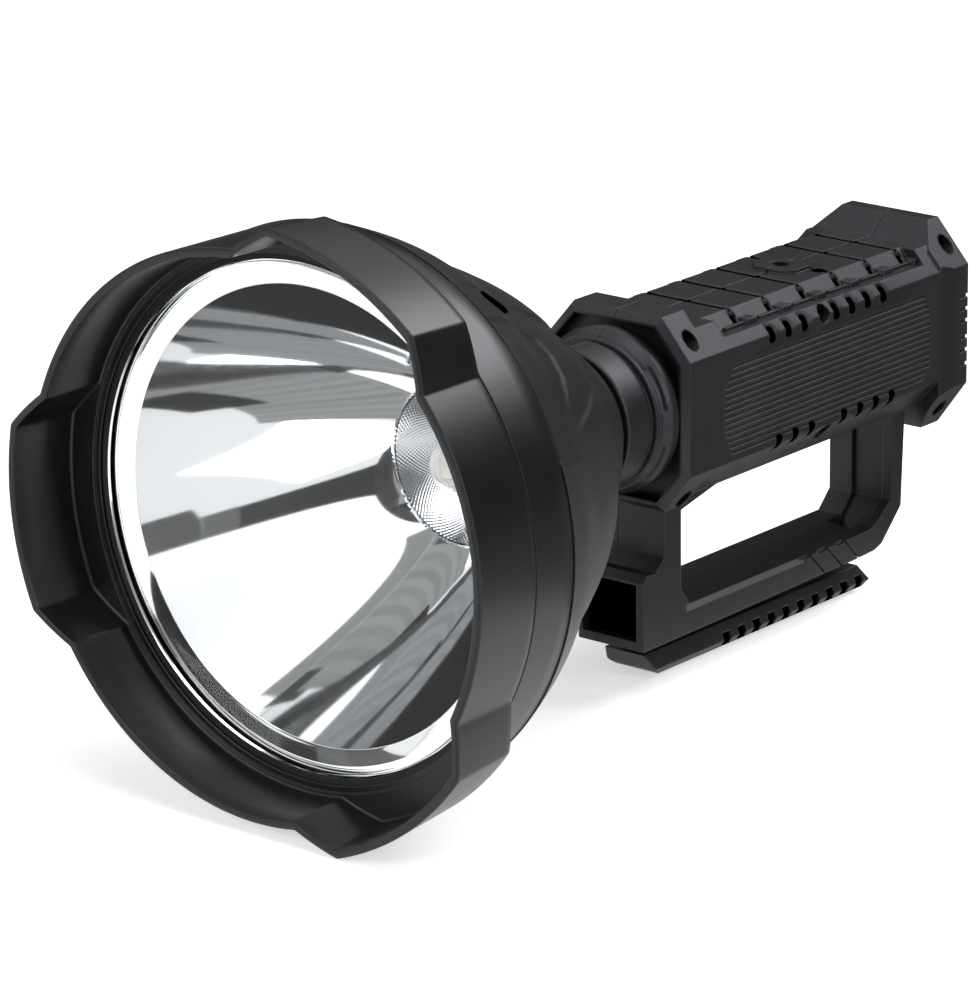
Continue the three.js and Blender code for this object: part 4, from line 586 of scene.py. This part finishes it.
def make_shell():
    """The shell behind the rim, with sunken panels and the wells of its screws."""
    length = SHELL_END - SHELL_FRONT
    profile = shell_profile()
    panels = [
        (depth, [(x * SHELL_RADIUS, SHELL_FRONT + y * length) for x, y in shares])
        for depth, shares in ((DEEP_PANEL, DEEP_SHARES), (SHALLOW_PANEL, SHALLOW_SHARES))
    ]

    def sink(point, angle):
        along, radius, face = point
        if not face:
            return along, radius
        middle = min((m + HEAD_TURN for m in PANEL_ANGLES), key=lambda m: angle_from(angle, m))
        turn = math.radians(angle - middle)
        across = -radius * math.sin(turn)
        depth = 0
        for panel_depth, outline in panels:
            share = (inside_by(outline, across, along) + PANEL_EDGE) / (2 * PANEL_EDGE)
            share = max(0, min(1, share))
            depth = max(depth, panel_depth * share * share * (3 - 2 * share))
        return along, radius - depth

    inside = [
        (along - INSIDE_SHIFT, radius - INSIDE_SINK)
        for along, radius in reversed(profile)
        if INSIDE_FROM < radius - SHELL_WALL < INSIDE_TO
    ]
    outline = [(a, r, False) for a, r in SHELL_COLLAR] + [(a, r, True) for a, r in profile]
    outline += [(a, r, False) for a, r in SHELL_STUB + inside]
    turns = between(0, 359.25, 479)
    shell = lathe("grained_shell", outline, "grained_black", ["head_shell"], turns, bend=sink)
    drill = Vector((0, 1, 0)).to_track_quat("Z", "Y").to_matrix().to_4x4()
    radius, depth = (WELL_RADIUS + WELL_GAP) * MM, 2 * DRILL_REACH * MM
    work = bmesh.new()
    for angle in SCREW_ANGLES:
        middle = on_beam(SCREW_SEAT + DRILL_REACH, SCREW_CIRCLE, angle + HEAD_TURN)
        bmesh.ops.create_cone(
            work,
            cap_ends=True,
            segments=40,
            radius1=radius,
            radius2=radius,
            depth=depth,
            matrix=Matrix.Translation(middle) @ drill,
        )
    carve(shell, work)
    paint_shade_in_wells(profile)


def along_at(profile, radius):
    """How far along the beam a profile that narrows has a radius."""
    for (start, wide), (stop, narrow) in zip(profile, profile[1:]):
        if narrow < radius <= wide:
            return start + (stop - start) * (radius - wide) / (narrow - wide)


def paint_shade_in_wells(profile):
    """Walls of painted shade in the wells of the shell's screws, cut off along the shell's surface.
    """
    points, faces = [], []
    for angle in SCREW_ANGLES:
        first = len(points)
        for k in range(WELL_SIDES):
            way = math.tau * k / WELL_SIDES
            ring = []
            for radius in (WELL_RADIUS, WELL_RADIUS - WELL_WALL):
                out, aside = SCREW_CIRCLE + radius * math.cos(way), radius * math.sin(way)
                away, turn = math.hypot(out, aside), math.degrees(math.atan2(aside, out))
                for along in (WELL_FLOOR, along_at(profile, away) - WELL_RIM):
                    ring.append(on_beam(along, away, angle + HEAD_TURN + turn))
            points += [ring[0], ring[1], ring[3], ring[2]]
        for k in range(WELL_SIDES):
            here, after = first + 4 * k, first + 4 * ((k + 1) % WELL_SIDES)
            for i in range(4):
                j = (i + 1) % 4
                faces.append((here + i, here + j, after + j, after + i))
    new_piece("painted_shade_screw_wells", points, faces, "grained_black", finish=painted_shade)


def carve(piece, work):
    """Cuts the solids in a bmesh out of a piece, and frees the bmesh."""
    mesh = bpy.data.meshes.new("cutter")
    bmesh.ops.recalc_face_normals(work, faces=work.faces)
    work.to_mesh(mesh)
    work.free()
    cutter = bpy.data.objects.new("cutter", mesh)
    scene.collection.objects.link(cutter)
    modifier = piece.modifiers.new("holes", "BOOLEAN")
    modifier.object = cutter
    modifier.solver = "EXACT"
    modifier.use_self = True
    bpy.context.view_layer.update()
    ready = piece.evaluated_get(bpy.context.evaluated_depsgraph_get())
    made = bpy.data.meshes.new_from_object(ready)
    piece.modifiers.clear()
    old = piece.data
    piece.data = made
    bpy.data.objects.remove(cutter)
    bpy.data.meshes.remove(old)
    made.set_sharp_from_angle(angle=math.radians(SHARP))


# Neck: the section is (along, radius)

NECK_GAP = 0.15  # from each half to the plane of the seam
NECK_SECTION = [(155, 24.4), (155.3, 24.8), (155.8, 25)]
NECK_SECTION += [(along, 25) for along in between(157, 165.9, 8)]
NECK_SECTION += [(166.5, 24.9), (167.1, 24.5), (168.1, 23.4), (168.5, 23.1), (169.4, 23.1)]
NECK_SECTION += [(169.5, 24.6), (169.7, 25.0), (170.3, 25.0), (170.7, 25.1)]
NECK_SECTION += [(along, 25.0 + 1.5 * (along - 170.7)) for along in (170.9, 171.15)]
NECK_SECTION += [(along, 26.0 + 2.0 * (along - 171.3) / 3.3) for along in between(171.3, 174.3, 20)]
NECK_SECTION += [(174.8, 27.9), (175.4, 28.0), (176.8, 28.0), (177.3, 27.9), (177.7, 27.6)]
NECK_SECTION += [(178.4, 26.4), (178.9, 25.4), (183.4, 25.4), (183.4, 20), (191.8, 20)]
NECK_SECTION += [(191.8, 22.6), (194.5, 22.6), (194.5, 14), (166.3, 14), (166.3, 21.8), (155, 21.8)]
SLOT_ANGLES, SLOT_HALF_SPAN, SLOT_PLACE = (27, -31.5), 15.5, 172.0
SLOT_FROM, SLOT_TO = 170.5, 173.5
SLOT_HALF_WIDTH, SLOT_DEPTH, SLOT_EDGE = 0.75, 0.9, 0.3


def make_neck():
    """The two halves of the neck, with the slots in the cone of its collar."""

    def slots(point, angle):
        along, radius = point
        if not SLOT_FROM < along < SLOT_TO:
            return point
        depth = 0
        for middle in SLOT_ANGLES:
            for turn in (0, 180):
                off = angle_from(angle, middle + turn)
                across = math.radians(max(0, off - SLOT_HALF_SPAN)) * radius
                gap = SLOT_HALF_WIDTH - math.hypot(across, along - SLOT_PLACE)
                share = max(0, min(1, gap / SLOT_EDGE + 0.5))
                depth = max(depth, SLOT_DEPTH * share)
        return along, radius - depth

    gap = math.degrees(NECK_GAP / NECK_RADIUS)
    half = between(-90 + gap, 90 - gap, 256)
    halves = (("neck_shell_near", "neck_left", 0), ("neck_shell_far", "neck_right", 180))
    for name, node, side in halves:
        angles = [side + angle for angle in half]
        lathe(name, NECK_SECTION, "grained_black", [node], angles, closed=False, bend=slots)


# Housing: places are (across from the seam, along, height from the beam axis). What is said of
# one half holds for the half at +X, and side -1 mirrors it for the other.

DECK_HEIGHT, DECK_HALF, LEDGE_HEIGHT, LEDGE_START = 27.2, 16.8, 22.45, 20.9
BODY_FRONT, BODY_LENGTH, BODY_HALF = 192.7, 128.2, 29.45
SHOULDER, HIP = 19.2, -19.25
CASE_SHARP = 25
PAD_PLACE, PAD_GAP, PAD_REACH = 270, 9.5, 8  # the pad on the deck, and the groove it covers
PAD_OPENING = ((10.6, 14.6), (-3.2, 1.2))  # the patch of painted shade for the opening beside it, across and along
BAR_TOP, BAR_HALF, BAR_ENDS = -68.4, 18.93, (193, 259)
BAR_CHAMFER, BAR_MARGIN = 1.7, 1  # and how far its cutter stands out

# Notches along the shoulder and the hip: corners are (out from the side, past the edge)
UPPER_NOTCH, UPPER_PITCH, LOWER_NOTCH, LOWER_PITCH = 225.6, 8.8857, 229.7, 9.1
NOTCH_COUNT, SCREW_NOTCH = 8, 3
NOTCH_FRONT, NOTCH_REAR = -2.0, 5.4
NOTCH_DEEP = ((4, 4), (1, -6.2), (-4, 4.0))
NOTCH_SHALLOW = ((4, 4), (1, -1.2), (-0.4, 1.2))
# and the oval of painted shade in each, laid into the edge's slope
EDGE_DOWN, EDGE_IN = 0.45, 0.89
OVAL_SIDES, OVAL_MIDDLE, OVAL_HALF_WIDTH, OVAL_HALF_LENGTH = 12, -0.1, 2.9, 1.8
OVAL_TOP, OVAL_FALL, OVAL_FLOOR = 1.58, 0.28, 3.2

# Grooves across the deck, with the seam opened beside each
GROOVES = [BODY_FRONT + BODY_LENGTH * share for share in (0.196, 0.342, 0.491, 0.64, 0.789, 0.926)]
GROOVE_TOP, GROOVE_BOTTOM, GROOVE_DEPTH, GROOVE_LIFT = 1.8, 0.8, 1.9, 0.4
GROOVE_START, GROOVE_INSET, SLOPE_INSET, SLOPE_REACH = -1, 0.4, 1, 0.3
SEAM_FRONT, SEAM_REAR = -6, 7
SEAM_START, SEAM_TOP, SEAM_BOTTOM = -0.2, 0.45, 0.1
# and the strips of painted shade in the grooves, on the slopes and in the seam
HOLLOW_HALF, HOLLOW_TOP, HOLLOW_THICK, HOLLOW_FLOOR = 0.95, -0.35, 1.4, -2.6
HOLLOW_START, HOLLOW_INSET, FOOT_INSET, FOOT_SINK = 0.3, 0.6, 0.4, 0.2
SEAM_HOLLOW, SEAM_SINK, OPENING_RISE = (0.15, 0.4), 0.25, 0.03

# Blocks on the ledge: across, along from a groove, height, and how far the top is drawn in
LEDGE_BLOCKS = (
    ((18.9, 24.4), (1.2, 7.4), (20.5, 24.3), 0.7),
    ((21.0, 22.9), (-9.2, 2.0), (20.5, 23.5), 0.35),
)

# Liners of painted shade in the recess of the handle's column and in the rail's notches
COLUMN_RECESS = {1: (0.2, 15.8), -1: (6.3, 0.2)}  # across, on each side
RECESS_ALONG, RECESS_HEIGHTS = (174, 176), (-74.8, -55.7)
RAIL_NOTCH, RAIL_PITCH, RAIL_COUNT = 227.3, 8.36, 10
RAIL_ACROSS, RAIL_ALONG, RAIL_HEIGHTS = (5.6, 8.9), (-2.1, 2.1), (-92.8, -88.3)


def hull(work, side, corners):
    """Adds the solid round some corners to a bmesh."""
    places = [beam + MM * Vector((side * x, along, height)) for x, along, height in corners]
    bmesh.ops.convex_hull(work, input=[work.verts.new(place) for place in places])


def block(work, side, across, alongs, heights):
    """Adds a box to a bmesh."""
    hull(work, side, [(x, along, h) for x in across for along in alongs for h in heights])


def under_pad(place):
    """Whether the pad covers the middle of a groove."""
    return abs(place - PAD_PLACE) < PAD_REACH


def notch_rows():
    """The place of each edge notch, the height of its edge, and whether that edge looks up."""
    upper = (UPPER_NOTCH, UPPER_PITCH, SHOULDER, 1)
    lower = (LOWER_NOTCH, LOWER_PITCH, HIP, -1)
    for start, pitch, edge, up in (upper, lower):
        for k in range(NOTCH_COUNT):
            if k != SCREW_NOTCH:
                yield start + pitch * k, edge, up


def notch_cutters(side):
    """Wedges that open each edge notch: deep at its front, running out to the rear."""
    work = bmesh.new()
    for place, edge, up in notch_rows():
        ends = ((place + NOTCH_FRONT, NOTCH_DEEP), (place + NOTCH_REAR, NOTCH_SHALLOW))
        corners = [
            (BODY_HALF + out, along, edge + past * up) for along, end in ends for out, past in end
        ]
        hull(work, side, corners)
    return work


def groove_cutters(side):
    """Wider grooves over the deck and its slopes, and the seam's open ends beside them."""
    work = bmesh.new()
    top, low = DECK_HEIGHT + GROOVE_LIFT, DECK_HEIGHT - GROOVE_DEPTH
    for place in GROOVES:
        start = PAD_GAP if under_pad(place) else GROOVE_START
        section = [(place + s * GROOVE_TOP, top) for s in (-1, 1)]
        section += [(place + s * GROOVE_BOTTOM, low) for s in (-1, 1)]
        flat = (start, DECK_HALF - GROOVE_INSET)
        hull(work, side, [(x, a, h) for x in flat for a, h in section])
        fall = LEDGE_HEIGHT - DECK_HEIGHT
        slope = ((DECK_HALF - SLOPE_INSET, 0), (LEDGE_START + SLOPE_REACH, fall))
        hull(work, side, [(x, a, h + drop) for x, drop in slope for a, h in section])
        if not under_pad(place):
            edges = ((SEAM_START, top), (SEAM_TOP, top), (SEAM_BOTTOM, low))
            ends = (place + SEAM_FRONT, place + SEAM_REAR)
            hull(work, side, [(x, a, h) for x, h in edges for a in ends])
    return work


def notch_painted_shade(work, side):
    """Ovals of painted shade at the deep end of the edge notches, falling to the rear with the
    wedge.
    """
    for place, edge, up in notch_rows():
        corners = []
        for turn in between(0, math.tau * (OVAL_SIDES - 1) / OVAL_SIDES, OVAL_SIDES - 1):
            slide = OVAL_HALF_WIDTH * math.cos(turn)
            along = place + OVAL_MIDDLE + OVAL_HALF_LENGTH * math.sin(turn)
            top = OVAL_TOP - OVAL_FALL * (along - place - NOTCH_FRONT)
            for depth in (top, OVAL_FLOOR):
                across = BODY_HALF - EDGE_DOWN * slide - EDGE_IN * depth
                height = edge + up * (EDGE_IN * slide - EDGE_DOWN * depth)
                corners.append((across, along, height))
        hull(work, side, corners)


def groove_painted_shade(work, side):
    """Strips of painted shade in the grooves and the seam, and a patch of painted shade for the
    opening beside the pad.
    """
    top, low = DECK_HEIGHT + HOLLOW_TOP, DECK_HEIGHT + HOLLOW_FLOOR
    for place in GROOVES:
        start = PAD_GAP if under_pad(place) else HOLLOW_START
        bend = (DECK_HALF - HOLLOW_INSET, top)
        foot = (LEDGE_START - FOOT_INSET, LEDGE_HEIGHT - FOOT_SINK)
        for stretch in (((start, top), bend), (bend, foot)):
            rows = [(x, place + a, h) for x, h in stretch for a in (-HOLLOW_HALF, HOLLOW_HALF)]
            hull(work, side, [(x, a, h - d) for x, a, h in rows for d in (0, HOLLOW_THICK)])
        if not under_pad(place):
            ends = (place + SEAM_FRONT, place + SEAM_REAR)
            block(work, side, SEAM_HOLLOW, ends, (DECK_HEIGHT - SEAM_SINK, low))
        elif side > 0:
            across, reach = PAD_OPENING
            heights = (DECK_HEIGHT + OPENING_RISE, low)
            block(work, side, across, [place + a for a in reach], heights)


def painted_shade_hollows(side):
    """Painted shade in the notches, the grooves, the column's recess and the rail."""
    work = bmesh.new()
    notch_painted_shade(work, side)
    groove_painted_shade(work, side)
    block(work, side, COLUMN_RECESS[side], RECESS_ALONG, RECESS_HEIGHTS)
    for k in range(RAIL_COUNT):
        place = RAIL_NOTCH + RAIL_PITCH * k
        block(work, side, RAIL_ACROSS, [place + a for a in RAIL_ALONG], RAIL_HEIGHTS)
    return work


def bar_chamfer():
    """The wedge off the long upper edge of the handle's bar, on the side that shows."""
    work = bmesh.new()
    out, over = BAR_HALF + BAR_MARGIN, BAR_TOP + BAR_MARGIN
    section = [(BAR_HALF - BAR_CHAMFER - BAR_MARGIN, over)]
    section += [(out, BAR_TOP - BAR_CHAMFER - BAR_MARGIN), (out, over)]
    hull(work, 1, [(x, along, h) for along in BAR_ENDS for x, h in section])
    return work


def ledge_blocks(side):
    """Low blocks on the ledge, with their tops drawn in on all sides."""
    work = bmesh.new()
    for place in GROOVES:
        for across, reach, (low, high), inset in LEDGE_BLOCKS:
            (x0, x1), (y0, y1) = across, [place + a for a in reach]
            top = [(x, y, high) for x in (x0 + inset, x1 - inset) for y in (y0 + inset, y1 - inset)]
            hull(work, side, top + [(x, y, low) for x in (x0, x1) for y in (y0, y1)])
    return work


def make_housing():
    """Copies of the two CAD halves with their edge and deck relief, and what lies in it."""
    sides = ((1, "housing_left", "near"), (-1, "housing_right", "far"))
    for side, node, word in sides:
        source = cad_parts[node]
        points = [source.matrix_world @ vertex.co for vertex in source.data.vertices]
        faces = [tuple(face.vertices) for face in source.data.polygons]
        name = f"case_{word}"
        case = new_piece(name, points, faces, "grained_black", [node], sharp=CASE_SHARP)
        carve(case, notch_cutters(side))
        carve(case, groove_cutters(side))
        if side > 0:
            carve(case, bar_chamfer())
        # ledge blocks in the case's plastic, and the pieces of painted shade
        for name, finish, solids in (
            (f"ledge_blocks_{word}", grained_black, ledge_blocks(side)),
            (f"painted_shade_hollows_{word}", painted_shade, painted_shade_hollows(side)),
        ):
            made = bpy.data.meshes.new(name)
            solids.to_mesh(made)
            solids.free()
            new_object(name, made, "grained_black", sharp=CASE_SHARP, finish=finish)


make_bezel()
make_optics()
make_shell()
make_neck()
make_housing()


# Camera, at the photograph's place

CAMERA_TURN = (39.3824, 17.5229, -0.6108)  # azimuth, elevation and roll
CAMERA_PLACE = (1.08174, -1.45178, 0.61589)
CAMERA_LENS, CAMERA_SENSOR, CAMERA_CLIP = 203.472, 36, (0.05, 50)


def direction(azimuth, elevation):
    """Out from the lamp, with 0 degrees straight before its mouth and 90 at +X."""
    a, e = math.radians(azimuth), math.radians(elevation)
    return Vector((math.sin(a) * math.cos(e), -math.cos(a) * math.cos(e), math.sin(e)))


def make_camera():
    """The camera that the photograph was fitted with."""
    azimuth, elevation, roll = CAMERA_TURN
    back, roll = direction(azimuth, elevation), math.radians(roll)
    right = (-back).cross(Vector((0, 0, 1))).normalized()
    up = right.cross(-back)
    right, up = (
        math.cos(roll) * right + math.sin(roll) * up,
        math.cos(roll) * up - math.sin(roll) * right,
    )
    data = bpy.data.cameras.new("photo_camera")
    data.lens = CAMERA_LENS
    data.sensor_width = CAMERA_SENSOR
    data.clip_start, data.clip_end = CAMERA_CLIP
    camera = bpy.data.objects.new("photo_camera", data)
    camera.matrix_world = Matrix((right, up, back)).transposed().to_4x4()
    camera.location = CAMERA_PLACE
    scene.collection.objects.link(camera)
    scene.camera = camera


make_camera()


# Stage: a pale floor, a white surround, soft lamps, and cards that only gloss and glass show

FLOOR_RADIUS, FLOOR_GAP, FLOOR_GLOW = 8, 0.0002, 0.55
WORLD_LIGHT = 0.15  # what the white surround gives to all but the camera, gloss and glass
GROUND = cad_low.z + 0.002
LAMP_AIM = Vector((0, 0, 0.08))
CARD_STEPS = 12
WHITE, BLACK = (1, 1, 1, 1), (0, 0, 0, 1)
STREAKS = (0.28, 0.34, 0.3, 0.36, 0.29, 0.33, 0.27, 0.35, 0.3)
STREAKS += (0.34, 0.28, 0.35, 0.29, 0.33, 0.28, 0.34, 0.3)
STREAK_START, STREAK_WIDTH = 11, 3  # in degrees
FAR_BACKDROP, FAR_CARD, FAR_GAP = (1.15, 1.15), (1.1, 1.1), (0.78, 1.5)  # in metres, low and high


def surround_level(n, seen, unseen):
    """A light level for what the camera, gloss and glass see, and another for the rest."""
    path = n.add("ShaderNodeLightPath")
    camera, gloss, glass = (
        path.outputs[f"Is {ray} Ray"] for ray in ("Camera", "Glossy", "Transmission")
    )
    either = n.add("ShaderNodeMath", {0: camera, 1: gloss}, operation="MAXIMUM").outputs[0]
    shown = n.add("ShaderNodeMath", {0: either, 1: glass}, operation="MAXIMUM").outputs[0]
    return n.spread(shown, unseen, seen, 0, 1)


def make_stage():
    """The floor and the white surround."""
    mesh = bpy.data.meshes.new("floor")
    work = bmesh.new()
    bmesh.ops.create_circle(work, cap_ends=True, radius=FLOOR_RADIUS, segments=64)
    work.to_mesh(mesh)
    work.free()
    floor = bpy.data.objects.new("floor", mesh)
    floor.location = (0, 0, cad_low.z - FLOOR_GAP)
    scene.collection.objects.link(floor)
    n = Nodes("pale floor")
    n.set("Base Color", (0.9, 0.9, 0.9, 1))
    n.set("Roughness", 0.9)
    n.set("Emission Color", WHITE)
    n.set("Emission Strength", surround_level(n, FLOOR_GLOW, 0))
    mesh.materials.append(n.material)

    world = bpy.data.worlds.new("surround")
    scene.world = world
    n = Nodes("", world)
    back = world.node_tree.nodes["Background"]
    back.inputs["Color"].default_value = WHITE
    world.node_tree.links.new(surround_level(n, 1, WORLD_LIGHT), back.inputs["Strength"])


def toward(azimuth, elevation, distance):
    """A place seen from the middle of the lamp's mouth."""
    return beam + distance * direction(azimuth, elevation)


def area_lamp(name, place, size, power):
    """A soft lamp that faces the object."""
    data = bpy.data.lights.new(name, "AREA")
    data.shape = "RECTANGLE"
    data.size, data.size_y = size
    data.energy = power
    lamp = bpy.data.objects.new(name, data)
    lamp.location = place
    lamp.rotation_mode = "QUATERNION"
    lamp.rotation_quaternion = (LAMP_AIM - place).to_track_quat("-Z", "Y")
    scene.collection.objects.link(lamp)


def card(name, azimuths, elevations, level, distances):
    """A curved studio card that shows in gloss and glass alone."""
    turns = between(*azimuths, CARD_STEPS)
    points = [toward(a, e, d) for e, d in zip(elevations, distances) for a in turns]
    row = CARD_STEPS + 1
    faces = [(k, k + 1, k + 1 + row, k + row) for k in range(CARD_STEPS)]
    show_in_gloss(name, points, faces, level)


def show_in_gloss(name, points, faces, level):
    """A glowing mesh that the camera, the diffuse light and the shadows leave out."""
    mesh = bpy.data.meshes.new(name)
    mesh.from_pydata(points, [], faces)
    n = Nodes(name)
    n.set("Base Color", BLACK)
    n.set("Specular IOR Level", 0)
    n.set("Emission Color", WHITE)
    n.set("Emission Strength", level)
    mesh.materials.append(n.material)
    piece = bpy.data.objects.new(name, mesh)
    piece.visible_camera = piece.visible_diffuse = piece.visible_shadow = False
    scene.collection.objects.link(piece)


make_stage()
# Lamps: name, place, size and power in watts
area_lamp("key", toward(-12, 27, 2.3), (1.5, 1.2), 26)
area_lamp("side", Vector((1.8, -0.3, 0.9)), (0.8, 0.8), 12)
area_lamp("top", Vector((0.2, -0.5, 1.7)), (0.8, 0.8), 8)
area_lamp("rear", toward(156, 40, 1.4), (0.9, 0.5), 10)
# Cards: name, azimuths, elevations, level, and the distances of the low and the high edge
for k, streak in enumerate(STREAKS):
    left = STREAK_START + STREAK_WIDTH * k
    card(f"dim_backdrop_{k}", (left, left + STREAK_WIDTH), (-4.5, 44), streak, FAR_BACKDROP)
card("dim_ground", (11, 62), (-11.8, -4.6), 0.3, (0.45, 1.14))
card("dark_ceiling", (34, 56), (35, 50), 0.02, FAR_CARD)
card("dark_edge", (57, 64), (-4, 9), 0.05, FAR_CARD)
card("dark_figure", (12, 20), (-2, 22), 0.08, FAR_CARD)
card("dark_gap", (-40, -8), (-6.5, 7.5), 0.025, FAR_GAP)
card("dim_gap", (-52, -45), (-6.5, 15), 0.1, FAR_GAP)
card("grey_gap", (-45, -40), (-6.5, 8), 0.14, FAR_GAP)
card("dark_rear", (100, 262), (-2, 28), 0.04, (1.6, 1.6))
ground_corners = [(-2, 0.1), (0.04, 0.1), (0.04, -0.05), (2, -0.05), (2, 3), (-2, 3)]
show_in_gloss("dark_ground", [(x, y, GROUND) for x, y in ground_corners], [range(6)], 0.35)
